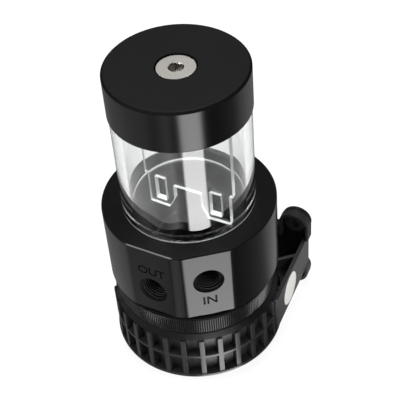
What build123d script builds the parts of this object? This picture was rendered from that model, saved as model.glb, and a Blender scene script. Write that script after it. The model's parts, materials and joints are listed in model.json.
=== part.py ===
from build123d import *
from math import atan2, cos, degrees, hypot, pi, radians, sin, sqrt
import os

# Coolant pump reservoir: a clear tube on a machined pump top, held by a knurled ring to a
# magnet-drive pump that stands in a ribbed basket with two wall arms.
# Millimetres. +Z is up, the origin is on the pump axis at the underside of the basket,
# and +Y points at the wall. Azimuths run from the front (-Y) towards +X.

# Clearances and fits
thread_clearance = 0.1
running_clearance = 0.05
slip_clearance = 0.2
seat_gap = 0.1

# Heights of the stack, from the floor up
floor_thickness = 2.0
rib_height = 23.6
rim_height = 4.4
ring_height = 10.8
ring_to_head_gap = 2.5
head_height = 40.2
tube_visible_height = 54.3
cap_height = 21.0

# Motor
can_wall = 1.8
end_cover_thickness = 2.0
spigot_height = 4.0
spigot_wall = 3.0
board_thickness = 1.6
flange_step = 3.8
flange_thickness = 4.6
cup_radius = 18.0
cup_wall = 0.6
cup_rim_inset = 3.6
cup_centre_depth = 4.9
cup_flat_radius = 5.0
stator_height = 12.0
yoke_width = 4.0
tooth_length = 7.1
tooth_width = 5.0
tooth_count = 6
tooth_gap = 0.8
coil_build = 2.0
coil_end_gap = 1.5
cable_hole_radius = 3.1
cable_bore_radius = 1.7
cable_height = 8.2

# Rotor and impeller
magnet_gap = 0.8
hub_radius = 7.9
pin_radius = 2.0
pin_foot_height = 1.5
bush_wall = 2.0
bush_length = 12.0
impeller_lift = 0.7
impeller_disc = 1.4
impeller_inset = 7.0
blade_height = 6.0
blade_thickness = 1.4
blade_count = 7
blade_sweep = 38.0

# Lock ring
ring_wall = 1.6
lip_thickness = 3.0
lip_clearance = 0.6
knurl_depth = 0.45
knurl_pitch = 1.1
knurl_bottom_margin = 0.5
knurl_top_margin = 1.3
ring_chamfer = 0.8

# Pump top
skirt_wall = 1.9
skirt_length = 9.9
head_overhang = 1.6
head_chamfer = 0.5
flat_depth = 1.4
flat_chamfer = 0.7
seal_face_rise = 0.1
volute_inset = 5.2
volute_height = 12.0
inlet_radius = 10.0
inlet_chamfer = 1.5
bowl_floor_thickness = 8.0
bowl_corner = 4.0
in_azimuth = 34.5
out_azimuth = -4.5
in_port_rise = 22.5
out_port_rise = 14.5
port_radius = 6.58
port_mouth_radius = 7.35
port_depth = 12.0
passage_radius = 5.0
drop_radius = 4.0

# Tube, cap and plug
tube_radius = 31.8
tube_wall = 4.4
tube_end_step = 1.6
socket_depth = 8.0
cap_overhang = 0.7
cap_chamfer = 1.0
plug_head_radius = 8.7
plug_head_thickness = 3.0
plug_sink = 0.3
counterbore_clearance = 0.6
plug_thread_length = 8.0
hex_across_flats = 6.0
hex_depth = 4.0
plug_chamfer = 0.4

# Rings of round section
ring_section = 0.65
plug_ring_section = 0.7
seal_section = 1.0

# Baffle sheet
baffle_thickness = 3.0
baffle_side_gap = 4.2
baffle_step = 1.7
baffle_step_height = 17.6
baffle_seat = 1.5
baffle_height = 56.3
baffle_rail = 4.1
window_width = 5.7
window_sill = 3.6
window_height = 13.4
window_post = 4.5
arch_height = 14.3
arch_spring = 6.3
arch_flare = 3.3

# Basket
cooling_gap = 3.9
basket_wall = 1.9
rib_depth = 4.1
rib_width = 2.6
rib_count = 29
rib_turn = 0.9
rim_step = 1.7
rim_flare = 1.4
rim_chamfer = 0.4
base_step = 0.4
base_chamfer = 0.4
hoop_rise = 12.3
hoop_height = 1.6

# Wall bracket
arm_proud = 0.7
arm_thickness = 2.2
arm_bottom = 4.0
arm_height = 21.3
arm_root = 6.0
wall_gap = 6.8
gusset_reach = 33.4
gusset_thickness = 1.8
cup_lobe_radius = 8.1
cup_lobe_proud = 1.2
lobe_depth = 6.0
lobe_wall = 1.6
lobe_back = 2.0
lower_lobe_height = 1.0
lobe_spacing = 33.0
bar_bottom = 25.0
bar_height = 6.0
bar_depth = 4.5
pad_thickness = 1.5
pad_inset = 0.3
grommet_waist_radius = 4.0
grommet_flange_radius = 5.4
grommet_flange_thickness = 1.5
screw_hole_radius = 2.15
badge_radius = 9.0
badge_thickness = 0.8
badge_recess = 0.6
badge_clearance = 0.15
badge_reach = 19.3
badge_height = 14.3

# Heights that follow
rib_top = floor_thickness + rib_height
basket_top = rib_top + rim_height
ring_bottom = basket_top + slip_clearance
ring_top = ring_bottom + ring_height
head_bottom = ring_top + ring_to_head_gap
head_top = head_bottom + head_height
cap_bottom = head_top + tube_visible_height
cap_top = cap_bottom + cap_height
lip_top = ring_bottom + lip_thickness
flange_bottom = lip_top + seat_gap
flange_top = flange_bottom + flange_thickness
seal_face = flange_top + seal_face_rise
skirt_bottom = head_bottom - skirt_length
volute_top = seal_face + volute_height
socket_floor = head_top - socket_depth
bowl_floor = volute_top + bowl_floor_thickness
cap_socket_top = cap_bottom + socket_depth
cup_centre = flange_top - cup_centre_depth
can_bottom = floor_thickness + end_cover_thickness
board_bottom = can_bottom + spigot_height
plug_seat = cap_top - plug_sink - plug_head_thickness
hoop_bottom = floor_thickness + hoop_rise

# Radii that follow
cup_outer = cup_radius + cup_wall
tooth_tip = cup_outer + tooth_gap
tooth_root = tooth_tip + tooth_length
stator_outer = tooth_root + yoke_width
can_inner = stator_outer + seat_gap
can_radius = can_inner + can_wall
flange_radius = can_radius + flange_step
skirt_inner = flange_radius + slip_clearance
skirt_outer = skirt_inner + skirt_wall
ring_thread = skirt_outer + thread_clearance
ring_radius = ring_thread + ring_wall
head_radius = ring_radius + head_overhang
flat_distance = head_radius - flat_depth
volute_radius = flange_radius - volute_inset
impeller_radius = volute_radius - impeller_inset
cup_rim_radius = can_inner - cup_rim_inset
tube_inner = tube_radius - tube_wall
tube_end_radius = tube_radius - tube_end_step
socket_radius = tube_end_radius + thread_clearance
cap_radius = tube_radius + cap_overhang
baffle_half_width = tube_inner - baffle_side_gap
baffle_foot_half = baffle_half_width - baffle_step
bowl_radius = baffle_foot_half - baffle_seat
plug_thread_radius = port_radius - thread_clearance
basket_inner = can_radius + cooling_gap
basket_radius = basket_inner + basket_wall
rib_radius = basket_radius + rib_depth
rim_radius = basket_radius + rim_step
rim_inner = can_radius + slip_clearance
base_radius = rib_radius + base_step
arm_face = base_radius + arm_proud
wall_plane = base_radius + wall_gap
lobe_x = arm_face + cup_lobe_proud - cup_lobe_radius
upper_lobe_height = lower_lobe_height + lobe_spacing


def radial_plane(azimuth, distance, height):
    """A plane that faces outwards at this azimuth, its own Y upwards."""
    out = Vector(sin(radians(azimuth)), -cos(radians(azimuth)), 0)
    across = Vector(cos(radians(azimuth)), sin(radians(azimuth)), 0)
    centre = out * distance + Vector(0, 0, height)
    return Plane(origin=centre, x_dir=across, z_dir=out)


def wall_plane_at(y):
    """A plane square to the wall at this Y, facing away from the wall, its own Y upwards."""
    return Plane.XZ.offset(-y)


# Basket: wall, floor and rim are one turned section, then ribs, hoop and the wall arms
with BuildPart() as pump_basket:
    with BuildSketch(Plane.XZ):
        with BuildLine():
            Polyline(
                (0, 0),
                (base_radius - base_chamfer, 0),
                (base_radius, base_chamfer),
                (base_radius, floor_thickness),
                (basket_radius, floor_thickness),
                (basket_radius, rib_top),
                (rim_radius + rim_flare, rib_top),
                (rim_radius, basket_top - rim_chamfer),
                (rim_radius - rim_chamfer, basket_top),
                (rim_inner, basket_top),
                (rim_inner, rib_top),
                (basket_inner, rib_top - cooling_gap + slip_clearance),
                (basket_inner, floor_thickness),
                (0, floor_thickness),
                close=True,
            )
        make_face()
    revolve(axis=Axis.Z)
    with BuildSketch(Plane.XY.offset(floor_thickness)):
        with PolarLocations(basket_radius, rib_count, start_angle=rib_turn - 90):
            Rectangle(2 * rib_depth, rib_width)
        Circle(rib_radius, mode=Mode.INTERSECT)
        Circle(basket_radius - basket_wall / 2, mode=Mode.SUBTRACT)
    extrude(amount=rib_height)
    with BuildSketch(Plane.XY.offset(hoop_bottom)):
        Circle(rib_radius)
        Circle(basket_radius - basket_wall / 2, mode=Mode.SUBTRACT)
    extrude(amount=hoop_height)

    # Cups at the wall, one above the other on each side: the lower ones round, the upper ones
    # open downwards onto the arms
    arm_top = arm_bottom + arm_height
    lobe_points = [
        (side * lobe_x, height)
        for side in (1, -1)
        for height in (lower_lobe_height, upper_lobe_height)
    ]
    with BuildSketch(wall_plane_at(wall_plane)):
        with Locations(*lobe_points):
            Circle(cup_lobe_radius)
        for side in (1, -1):
            with Locations((side * lobe_x, (arm_top + upper_lobe_height) / 2)):
                Rectangle(2 * cup_lobe_radius, upper_lobe_height - arm_top)
    extrude(amount=lobe_depth)

    # Arms and gussets, then the wall plate and its thick upper bar that tie both sides together
    arm_length = wall_plane
    arm_middle = arm_face - arm_thickness / 2
    gusset_angle = atan2(gusset_reach, arm_middle)
    gusset_end = hypot(gusset_reach, arm_middle)
    gusset_start = basket_radius - basket_wall / 2
    for side in (1, -1):
        with BuildSketch(Plane.XY.offset(arm_bottom)):
            with Locations((side * arm_middle, arm_length / 2)):
                Rectangle(arm_thickness, arm_length)
            root_width = arm_face - gusset_start
            with Locations((side * (arm_face - root_width / 2), arm_root / 2)):
                Rectangle(root_width, arm_root)
            gusset_middle = (gusset_start + gusset_end) / 2
            gusset_x = side * gusset_middle * cos(gusset_angle)
            gusset_y = gusset_middle * sin(gusset_angle)
            with Locations((gusset_x, gusset_y)):
                Rectangle(gusset_end - gusset_start, gusset_thickness, rotation=side * degrees(gusset_angle))
        extrude(amount=arm_height)
    plate_height = bar_bottom + bar_height - arm_bottom
    with BuildSketch(wall_plane_at(wall_plane)):
        with Locations((0, arm_bottom + arm_height / 2)):
            Rectangle(2 * arm_face, arm_height)
        with Locations((0, arm_bottom + plate_height / 2)):
            Rectangle(2 * lobe_x, plate_height)
    extrude(amount=lobe_back)
    with BuildSketch(wall_plane_at(wall_plane)):
        with Locations((0, bar_bottom + bar_height / 2)):
            Rectangle(2 * lobe_x, bar_height)
        with Locations(*lobe_points):
            Circle(cup_lobe_radius - lobe_wall / 2, mode=Mode.SUBTRACT)
    extrude(amount=bar_depth)

    # Hollows of the cups, and holes for the rubber grommets, the cable and the badge
    with BuildSketch(wall_plane_at(wall_plane - lobe_back)):
        with Locations(*lobe_points):
            Circle(cup_lobe_radius - lobe_wall)
        for side in (1, -1):
            with Locations((side * lobe_x, (arm_top + upper_lobe_height) / 2)):
                Rectangle(2 * (cup_lobe_radius - lobe_wall), upper_lobe_height - arm_top)
    extrude(amount=lobe_depth - lobe_back, mode=Mode.SUBTRACT)
    with BuildSketch(wall_plane_at(wall_plane)):
        with Locations(*lobe_points):
            Circle(grommet_waist_radius)
    extrude(amount=lobe_back, mode=Mode.SUBTRACT)
    with BuildSketch(wall_plane_at(rib_radius)):
        with Locations((0, cable_height)):
            Circle(cable_hole_radius)
    extrude(amount=rib_radius - can_radius, mode=Mode.SUBTRACT)
    with BuildSketch(Plane.YZ.offset(arm_face)):
        with Locations((badge_reach, badge_height)):
            Circle(badge_radius + badge_clearance)
    extrude(amount=-badge_recess, mode=Mode.SUBTRACT)

# Bare round badge in its recess on the right arm
with BuildPart() as badge_disc:
    with BuildSketch(Plane.YZ.offset(arm_face - badge_recess)):
        with Locations((badge_reach, badge_height)):
            Circle(badge_radius)
    extrude(amount=badge_thickness)

# Rubber grommets, each a wall pad, a waist in the cup's hole and an inner flange
with BuildPart() as damper_grommets:
    pad_face = wall_plane + pad_thickness
    inner_face = wall_plane - lobe_back - grommet_flange_thickness
    with BuildSketch(wall_plane_at(pad_face)):
        with Locations(*lobe_points):
            Circle(cup_lobe_radius - pad_inset)
    extrude(amount=pad_thickness)
    with BuildSketch(wall_plane_at(wall_plane)):
        with Locations(*lobe_points):
            Circle(grommet_waist_radius)
    extrude(amount=lobe_back)
    with BuildSketch(wall_plane_at(wall_plane - lobe_back)):
        with Locations(*lobe_points):
            Circle(grommet_flange_radius)
    extrude(amount=grommet_flange_thickness)
    with BuildSketch(wall_plane_at(pad_face)):
        with Locations(*lobe_points):
            Circle(screw_hole_radius)
    extrude(amount=pad_face - inner_face, mode=Mode.SUBTRACT)

# Motor can with the flange that the lock ring carries
with BuildPart() as motor_housing:
    with BuildSketch(Plane.XZ):
        with BuildLine():
            Polyline(
                (can_inner, can_bottom),
                (can_radius, can_bottom),
                (can_radius, flange_bottom),
                (flange_radius, flange_bottom),
                (flange_radius, flange_top),
                (cup_rim_radius + seat_gap, flange_top),
                (cup_rim_radius + seat_gap, flange_top - cup_wall),
                (cup_outer + slip_clearance, flange_top - cup_wall),
                (cup_outer + slip_clearance, flange_bottom),
                (can_inner, flange_bottom),
                close=True,
            )
        make_face()
    revolve(axis=Axis.Z)
    with BuildSketch(wall_plane_at(can_radius)):
        with Locations((0, cable_height)):
            Circle(cable_hole_radius)
    extrude(amount=2 * can_wall, mode=Mode.SUBTRACT)

# End cover with the spigot ring that carries the circuit board
with BuildPart() as motor_end_cover:
    with BuildSketch(Plane.XY.offset(floor_thickness)):
        Circle(can_radius)
    extrude(amount=end_cover_thickness)
    with BuildSketch(Plane.XY.offset(can_bottom)):
        Circle(can_inner - seat_gap)
        Circle(can_inner - seat_gap - spigot_wall, mode=Mode.SUBTRACT)
    extrude(amount=spigot_height)
    with BuildSketch(wall_plane_at(can_inner)):
        with Locations((0, cable_height)):
            Circle(cable_hole_radius)
    extrude(amount=2 * spigot_wall, mode=Mode.SUBTRACT)

with BuildPart() as circuit_board:
    with BuildSketch(Plane.XY.offset(board_bottom)):
        Circle(can_inner - seat_gap)
        with Locations((0, can_inner)):
            Circle(cable_hole_radius + board_thickness, mode=Mode.SUBTRACT)
    extrude(amount=board_thickness)

# Rubber grommet where the motor leads leave the can and the basket
with BuildPart() as cable_grommet:
    with BuildSketch(wall_plane_at(rib_radius)):
        with Locations((0, cable_height)):
            Circle(cable_hole_radius - running_clearance)
            Circle(cable_bore_radius, mode=Mode.SUBTRACT)
    extrude(amount=rib_radius - can_inner)

# Thin steel cup between the dry stator and the wet rotor
cup_flat = cup_centre - sqrt(cup_radius**2 - cup_flat_radius**2)
cup_flat_outer = cup_flat - cup_wall
outer_flat_radius = sqrt(cup_outer**2 - (cup_centre - cup_flat_outer) ** 2)


def on_sphere(radius, angle):
    """Point of the cup's round section, with the angle below its equator."""
    return (radius * cos(radians(angle)), cup_centre - radius * sin(radians(angle)))


with BuildPart() as isolation_cup:
    with BuildSketch(Plane.XZ):
        with BuildLine():
            Polyline(
                (cup_radius, cup_centre),
                (cup_radius, flange_top),
                (cup_rim_radius, flange_top),
                (cup_rim_radius, flange_top - cup_wall),
                (cup_outer, flange_top - cup_wall),
                (cup_outer, cup_centre),
            )
            ThreePointArc((cup_outer, cup_centre), on_sphere(cup_outer, 40), (outer_flat_radius, cup_flat_outer))
            Polyline((outer_flat_radius, cup_flat_outer), (0, cup_flat_outer), (0, cup_flat), (cup_flat_radius, cup_flat))
            ThreePointArc((cup_flat_radius, cup_flat), on_sphere(cup_radius, 40), (cup_radius, cup_centre))
        make_face()
    revolve(axis=Axis.Z)

# Ceramic pin that stands on the flat of the cup
bush_bottom = cup_flat + pin_foot_height + magnet_gap
pin_top = bush_bottom + bush_length
with BuildPart() as bearing_pin:
    with BuildSketch(Plane.XY.offset(cup_flat)):
        Circle(cup_flat_radius - slip_clearance)
    extrude(amount=pin_foot_height)
    with BuildSketch(Plane.XY.offset(cup_flat)):
        Circle(pin_radius)
    extrude(amount=pin_top - cup_flat)
    fillet(bearing_pin.edges().group_by(Axis.Z)[-1], radius=pin_radius / 2)

# Stator: laminated ring with inward teeth, and one coil round each tooth
stator_bottom = flange_bottom - coil_build - coil_end_gap - stator_height
with BuildPart() as stator_core:
    with BuildSketch(Plane.XY.offset(stator_bottom)):
        Circle(stator_outer)
        Circle(tooth_root, mode=Mode.SUBTRACT)
        with PolarLocations((stator_outer + tooth_tip) / 2 - yoke_width / 4, tooth_count):
            Rectangle(stator_outer - tooth_tip - yoke_width / 2, tooth_width)
    extrude(amount=stator_height)

coil_inner_x = tooth_width + 2 * seat_gap
coil_inner_z = stator_height + 2 * seat_gap
coil_length = tooth_length - 2 * coil_end_gap
coil_radius = tooth_tip + coil_end_gap
with BuildPart() as stator_coils:
    for step in range(tooth_count):
        azimuth = 90 + step * 360 / tooth_count
        with BuildSketch(radial_plane(azimuth, coil_radius, stator_bottom + stator_height / 2)):
            RectangleRounded(coil_inner_x + 2 * coil_build, coil_inner_z + 2 * coil_build, coil_build)
            Rectangle(coil_inner_x, coil_inner_z, mode=Mode.SUBTRACT)
        extrude(amount=coil_length)

# Rotor: round-bottomed magnet, bush and impeller turn together on the pin
magnet_radius = cup_radius - magnet_gap
magnet_bore = hub_radius + running_clearance
magnet_bottom = cup_centre - sqrt(magnet_radius**2 - magnet_bore**2)
with BuildPart() as rotor_magnet:
    with BuildSketch(Plane.XZ):
        with BuildLine():
            Polyline((magnet_bore, magnet_bottom), (magnet_bore, cup_centre), (magnet_radius, cup_centre))
            ThreePointArc((magnet_radius, cup_centre), on_sphere(magnet_radius, 35), (magnet_bore, magnet_bottom))
        make_face()
    revolve(axis=Axis.Z)

bush_inner = pin_radius + running_clearance
bush_outer = bush_inner + bush_wall
with BuildPart() as bearing_bush:
    with BuildSketch(Plane.XY.offset(bush_bottom)):
        Circle(bush_outer)
        Circle(bush_inner, mode=Mode.SUBTRACT)
    extrude(amount=bush_length)

disc_bottom = flange_top + impeller_lift
blade_bottom = disc_bottom + impeller_disc
with BuildPart() as impeller:
    with BuildSketch(Plane.XY.offset(bush_bottom)):
        Circle(hub_radius)
    extrude(amount=blade_bottom - bush_bottom)
    with BuildSketch(Plane.XY.offset(disc_bottom)):
        Circle(impeller_radius)
    extrude(amount=impeller_disc)
    with BuildSketch(Plane.XY.offset(blade_bottom)):
        Circle(hub_radius)
    extrude(amount=blade_height / 2, taper=35)
    # Blades curve back from the hub to the rim of the disc
    for step in range(blade_count):
        turn = step * 360 / blade_count
        with BuildSketch(Plane.XY.offset(blade_bottom).rotated((0, 0, turn))):
            inner_end = hub_radius - blade_thickness
            middle = (inner_end + impeller_radius) / 2
            bend = radians(blade_sweep)
            with BuildLine():
                ThreePointArc(
                    (inner_end, 0),
                    (middle * cos(bend / 3), middle * sin(bend / 3)),
                    (impeller_radius * cos(bend), impeller_radius * sin(bend)),
                )
            trace(line_width=blade_thickness)
        extrude(amount=blade_height)
    with BuildSketch(Plane.XY.offset(bush_bottom)):
        Circle(bush_outer + running_clearance)
    extrude(amount=bush_length + magnet_gap, mode=Mode.SUBTRACT)

# Knurled ring that screws onto the pump top and carries the motor flange on its lip
knurl_count = round(2 * pi * ring_radius / knurl_pitch)
knurl_root = ring_radius - knurl_depth
knurl_points = []
for step in range(knurl_count):
    for radius, share in ((ring_radius, 0.0), (knurl_root, 0.5)):
        angle = 2 * pi * (step + share) / knurl_count
        knurl_points.append((radius * cos(angle), radius * sin(angle)))
with BuildPart() as lock_ring:
    with BuildSketch(Plane.XZ):
        with BuildLine():
            Polyline(
                (can_radius + lip_clearance, ring_bottom),
                (knurl_root, ring_bottom),
                (knurl_root, ring_top - ring_chamfer),
                (knurl_root - ring_chamfer, ring_top),
                (ring_thread, ring_top),
                (ring_thread, lip_top),
                (can_radius + lip_clearance, lip_top),
                close=True,
            )
        make_face()
    revolve(axis=Axis.Z)
    with BuildSketch(Plane.XY.offset(ring_bottom + knurl_bottom_margin)):
        with BuildLine():
            Polyline(*knurl_points, close=True)
        make_face()
        Circle((ring_thread + knurl_root) / 2, mode=Mode.SUBTRACT)
    extrude(amount=ring_height - knurl_bottom_margin - knurl_top_margin)

# Pump top: socket for the tube, bowl, inlet and volute in one turned section
in_plane = radial_plane(in_azimuth, flat_distance, head_bottom + in_port_rise)
out_plane = radial_plane(out_azimuth, flat_distance, head_bottom + out_port_rise)
tube_groove = head_top - socket_depth / 2
seal_radius = (volute_radius + skirt_inner) / 2
with BuildPart() as pump_top:
    with BuildSketch(Plane.XZ):
        with BuildLine():
            corner_start = (bowl_radius, bowl_floor + bowl_corner)
            corner_end = (bowl_radius - bowl_corner, bowl_floor)
            Polyline(
                corner_end,
                (inlet_radius + inlet_chamfer, bowl_floor),
                (inlet_radius, bowl_floor - inlet_chamfer),
                (inlet_radius, volute_top),
                (volute_radius, volute_top),
                (volute_radius, seal_face),
                (skirt_inner, seal_face),
                (skirt_inner, skirt_bottom),
                (skirt_outer, skirt_bottom),
                (skirt_outer, head_bottom),
                (head_radius - head_chamfer, head_bottom),
                (head_radius, head_bottom + head_chamfer),
                (head_radius, head_top - head_chamfer),
                (head_radius - head_chamfer, head_top),
                (socket_radius, head_top),
                (socket_radius, socket_floor),
                (bowl_radius, socket_floor),
                corner_start,
            )
            RadiusArc(corner_start, corner_end, -bowl_corner)
        make_face()
    revolve(axis=Axis.Z)
    # Two flats for the ports, each with a chamfer along its top edge
    for port_plane in (in_plane, out_plane):
        with BuildSketch(port_plane):
            Rectangle(2 * head_radius, 2 * head_height)
        extrude(amount=2 * flat_depth, mode=Mode.SUBTRACT)
    top_edges = pump_top.edges().filter_by(GeomType.LINE).filter_by_position(Axis.Z, head_top, head_top)
    chamfer(top_edges, length=flat_chamfer)
    for port_plane in (in_plane, out_plane):
        with Locations(port_plane):
            CounterSinkHole(port_radius, port_mouth_radius, depth=port_depth)
    with Locations(in_plane):
        Hole(passage_radius, depth=flat_distance - bowl_radius / 2)
    # The outlet thread drops into the volute
    drop_distance = flat_distance - port_depth + drop_radius / 2
    drop_top = out_plane.origin.Z
    with BuildSketch(Plane.XY.offset(drop_top)):
        with Locations(tuple(radial_plane(out_azimuth, drop_distance, 0).origin)[:2]):
            Circle(drop_radius)
    extrude(amount=volute_top - drop_top - volute_height / 2, mode=Mode.SUBTRACT)
    # Grooves for the tube seal and the motor seal
    with BuildSketch(Plane.XZ):
        with Locations((socket_radius + ring_section, tube_groove)):
            Rectangle(2 * ring_section, 2 * ring_section)
        with Locations((seal_radius, seal_face + seal_section - seat_gap)):
            Rectangle(2 * seal_section + seat_gap, 2 * seal_section)
    revolve(axis=Axis.Z, mode=Mode.SUBTRACT)


def round_ring(ring_centre, height, section):
    """Sketch of a round seal section, to be turned about the pump axis."""
    with BuildSketch(Plane.XZ) as sketch:
        with Locations((ring_centre, height)):
            Circle(section - running_clearance)
    return sketch.sketch


tube_ring_centre = socket_radius + ring_section
with BuildPart() as tube_o_ring:
    revolve(round_ring(tube_ring_centre, tube_groove, ring_section), axis=Axis.Z)

with BuildPart() as pump_seal_o_ring:
    revolve(round_ring(seal_radius, seal_face + seal_section - seat_gap, seal_section), axis=Axis.Z)

# Clear tube with both ends turned down for their sockets
with BuildPart() as reservoir_tube:
    with BuildSketch(Plane.XZ):
        with BuildLine():
            Polyline(
                (tube_inner, socket_floor),
                (tube_end_radius, socket_floor),
                (tube_end_radius, head_top),
                (tube_radius, head_top),
                (tube_radius, cap_bottom),
                (tube_end_radius, cap_bottom),
                (tube_end_radius, cap_socket_top - seat_gap),
                (tube_inner, cap_socket_top - seat_gap),
                close=True,
            )
        make_face()
    revolve(axis=Axis.Z)

# Baffle sheet that stands over the bowl on the socket floor, with narrow feet beside the arch
window_outer = baffle_foot_half - baffle_rail
window_middle = window_outer - window_width / 2
arch_half_width = window_outer - window_width - window_post
arch_foot = arch_half_width + arch_flare
with BuildPart() as baffle_plate:
    with BuildSketch(radial_plane(out_azimuth, 0, socket_floor)):
        with Locations((0, baffle_height / 2)):
            Rectangle(2 * baffle_half_width, baffle_height)
        for side in (1, -1):
            with Locations((side * baffle_half_width, baffle_step_height / 2)):
                Rectangle(2 * baffle_step, baffle_step_height, mode=Mode.SUBTRACT)
            with Locations((side * window_middle, window_sill + window_height / 2)):
                Rectangle(window_width, window_height, mode=Mode.SUBTRACT)
        with BuildLine():
            Polyline(
                (arch_foot, 0),
                (arch_half_width, arch_spring),
                (arch_half_width, arch_height),
                (-arch_half_width, arch_height),
                (-arch_half_width, arch_spring),
                (-arch_foot, 0),
                close=True,
            )
        make_face(mode=Mode.SUBTRACT)
    extrude(amount=baffle_thickness / 2, both=True)

# Screw cap with its seal groove, and the sunk fill plug in its middle
cap_groove = cap_bottom + socket_depth / 2
counterbore_radius = plug_head_radius + counterbore_clearance
with BuildPart() as top_cap:
    with BuildSketch(Plane.XZ):
        with BuildLine():
            Polyline(
                (port_radius, cap_socket_top),
                (socket_radius, cap_socket_top),
                (socket_radius, cap_bottom),
                (cap_radius, cap_bottom),
                (cap_radius, cap_top - cap_chamfer),
                (cap_radius - cap_chamfer, cap_top),
                (counterbore_radius, cap_top),
                (counterbore_radius, plug_seat),
                (port_radius, plug_seat),
                close=True,
            )
        make_face()
        with Locations((socket_radius + ring_section, cap_groove)):
            Rectangle(2 * ring_section, 2 * ring_section, mode=Mode.SUBTRACT)
    revolve(axis=Axis.Z)

with BuildPart() as cap_o_ring:
    revolve(round_ring(tube_ring_centre, cap_groove, ring_section), axis=Axis.Z)

plug_ring_centre = plug_thread_radius + plug_ring_section + running_clearance
plug_top = cap_top - plug_sink
with BuildPart() as fill_plug:
    with BuildSketch(Plane.XZ):
        with BuildLine():
            Polyline(
                (0, plug_seat - plug_thread_length),
                (plug_thread_radius - plug_chamfer, plug_seat - plug_thread_length),
                (plug_thread_radius, plug_seat - plug_thread_length + plug_chamfer),
                (plug_thread_radius, plug_seat + 2 * plug_ring_section),
                (plug_ring_centre + plug_ring_section, plug_seat + 2 * plug_ring_section),
                (plug_ring_centre + plug_ring_section, plug_seat + running_clearance),
                (plug_head_radius, plug_seat + running_clearance),
                (plug_head_radius, plug_top - plug_chamfer),
                (plug_head_radius - plug_chamfer, plug_top),
                (0, plug_top),
                close=True,
            )
        make_face()
    revolve(axis=Axis.Z)
    with BuildSketch(Plane.XY.offset(plug_top)):
        RegularPolygon(hex_across_flats / 2, 6, major_radius=False)
    extrude(amount=-hex_depth, mode=Mode.SUBTRACT)

with BuildPart() as fill_plug_o_ring:
    revolve(round_ring(plug_ring_centre, plug_seat + plug_ring_section, plug_ring_section), axis=Axis.Z)

# Every piece under its own name
pieces = {
    "pump_basket": pump_basket,
    "badge_disc": badge_disc,
    "damper_grommets": damper_grommets,
    "motor_housing": motor_housing,
    "motor_end_cover": motor_end_cover,
    "circuit_board": circuit_board,
    "cable_grommet": cable_grommet,
    "isolation_cup": isolation_cup,
    "bearing_pin": bearing_pin,
    "stator_core": stator_core,
    "stator_coils": stator_coils,
    "rotor_magnet": rotor_magnet,
    "bearing_bush": bearing_bush,
    "impeller": impeller,
    "lock_ring": lock_ring,
    "pump_top": pump_top,
    "tube_o_ring": tube_o_ring,
    "pump_seal_o_ring": pump_seal_o_ring,
    "reservoir_tube": reservoir_tube,
    "baffle_plate": baffle_plate,
    "top_cap": top_cap,
    "cap_o_ring": cap_o_ring,
    "fill_plug": fill_plug,
    "fill_plug_o_ring": fill_plug_o_ring,
}
os.makedirs("parts", exist_ok=True)
for name, piece in pieces.items():
    piece.part.label = name
    export_step(piece.part, f"parts/{name}.step")
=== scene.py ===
import json
from math import acos, atan2, cos, hypot, pi, radians, sin

import bmesh
import bpy
from bpy.props import FloatProperty, FloatVectorProperty, IntProperty, PointerProperty
from mathutils import Matrix, Vector


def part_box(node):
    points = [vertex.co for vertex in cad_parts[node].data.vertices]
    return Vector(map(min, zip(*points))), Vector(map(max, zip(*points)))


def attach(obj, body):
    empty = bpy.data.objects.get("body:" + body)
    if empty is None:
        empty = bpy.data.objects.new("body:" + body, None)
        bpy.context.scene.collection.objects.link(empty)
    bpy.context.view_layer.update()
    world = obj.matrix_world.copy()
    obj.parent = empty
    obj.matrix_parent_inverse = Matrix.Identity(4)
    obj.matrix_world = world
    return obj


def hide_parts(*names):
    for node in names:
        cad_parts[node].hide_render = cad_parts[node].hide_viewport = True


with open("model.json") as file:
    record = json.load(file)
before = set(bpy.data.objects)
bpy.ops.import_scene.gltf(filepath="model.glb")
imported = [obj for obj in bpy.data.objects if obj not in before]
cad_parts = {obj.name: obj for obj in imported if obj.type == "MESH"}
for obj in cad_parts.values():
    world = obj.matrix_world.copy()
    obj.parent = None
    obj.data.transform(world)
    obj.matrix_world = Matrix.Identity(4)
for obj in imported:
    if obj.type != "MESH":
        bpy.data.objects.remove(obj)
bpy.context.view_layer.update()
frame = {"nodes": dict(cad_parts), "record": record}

bl_info = {
    "name": "Coolant pump reservoir",
    "version": (1, 0, 0),
    "blender": (4, 5, 0),
    "location": "View3D > Sidebar > Pump reservoir",
    "description": "Dresses the packed pump reservoir with finely modelled pieces and finishes",
    "category": "Object",
}

MM = 0.001
SHARP_ANGLE = radians(32)
EASE_STEPS = 4
ROUND_STEPS = 192
SMALL_STEPS = 96
CUT_EDGE = 0.15 * MM
GROMMET_HOLE = 4.0 * MM
BAR_DEPTH = 4.5 * MM
BADGE_PROUD = 0.2 * MM
ACRYLIC_IOR = 1.49
# Share of a rounded edge by which its middle point stands in from the corner
ROUNDING = 0.3
# Word at each port, the height of its letters, and its place across and above the port's middle
PORT_MARKS = {
    "in_port": ("IN", 5.0 * MM, 0, -12.75 * MM),
    "out_port": ("OUT", 4.6 * MM, 0.4 * MM, 12.2 * MM),
}
# Azimuth in degrees from the front towards +X, and the radiance of the lights there
LOW_LIGHTS = (
    (-178, 0.2), (-120, 0.2), (-90, 0.3), (-73, 0.45), (-28, 0.62), (-13, 0.35),
    (6, 1.0), (16, 0.1), (22, 0.1), (25, 8.6), (53, 8.6), (56, 0.1),
    (64, 0.1), (110, 0.25), (124, 0.5), (140, 0.5), (153, 0.4), (178, 0.2),
)

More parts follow.
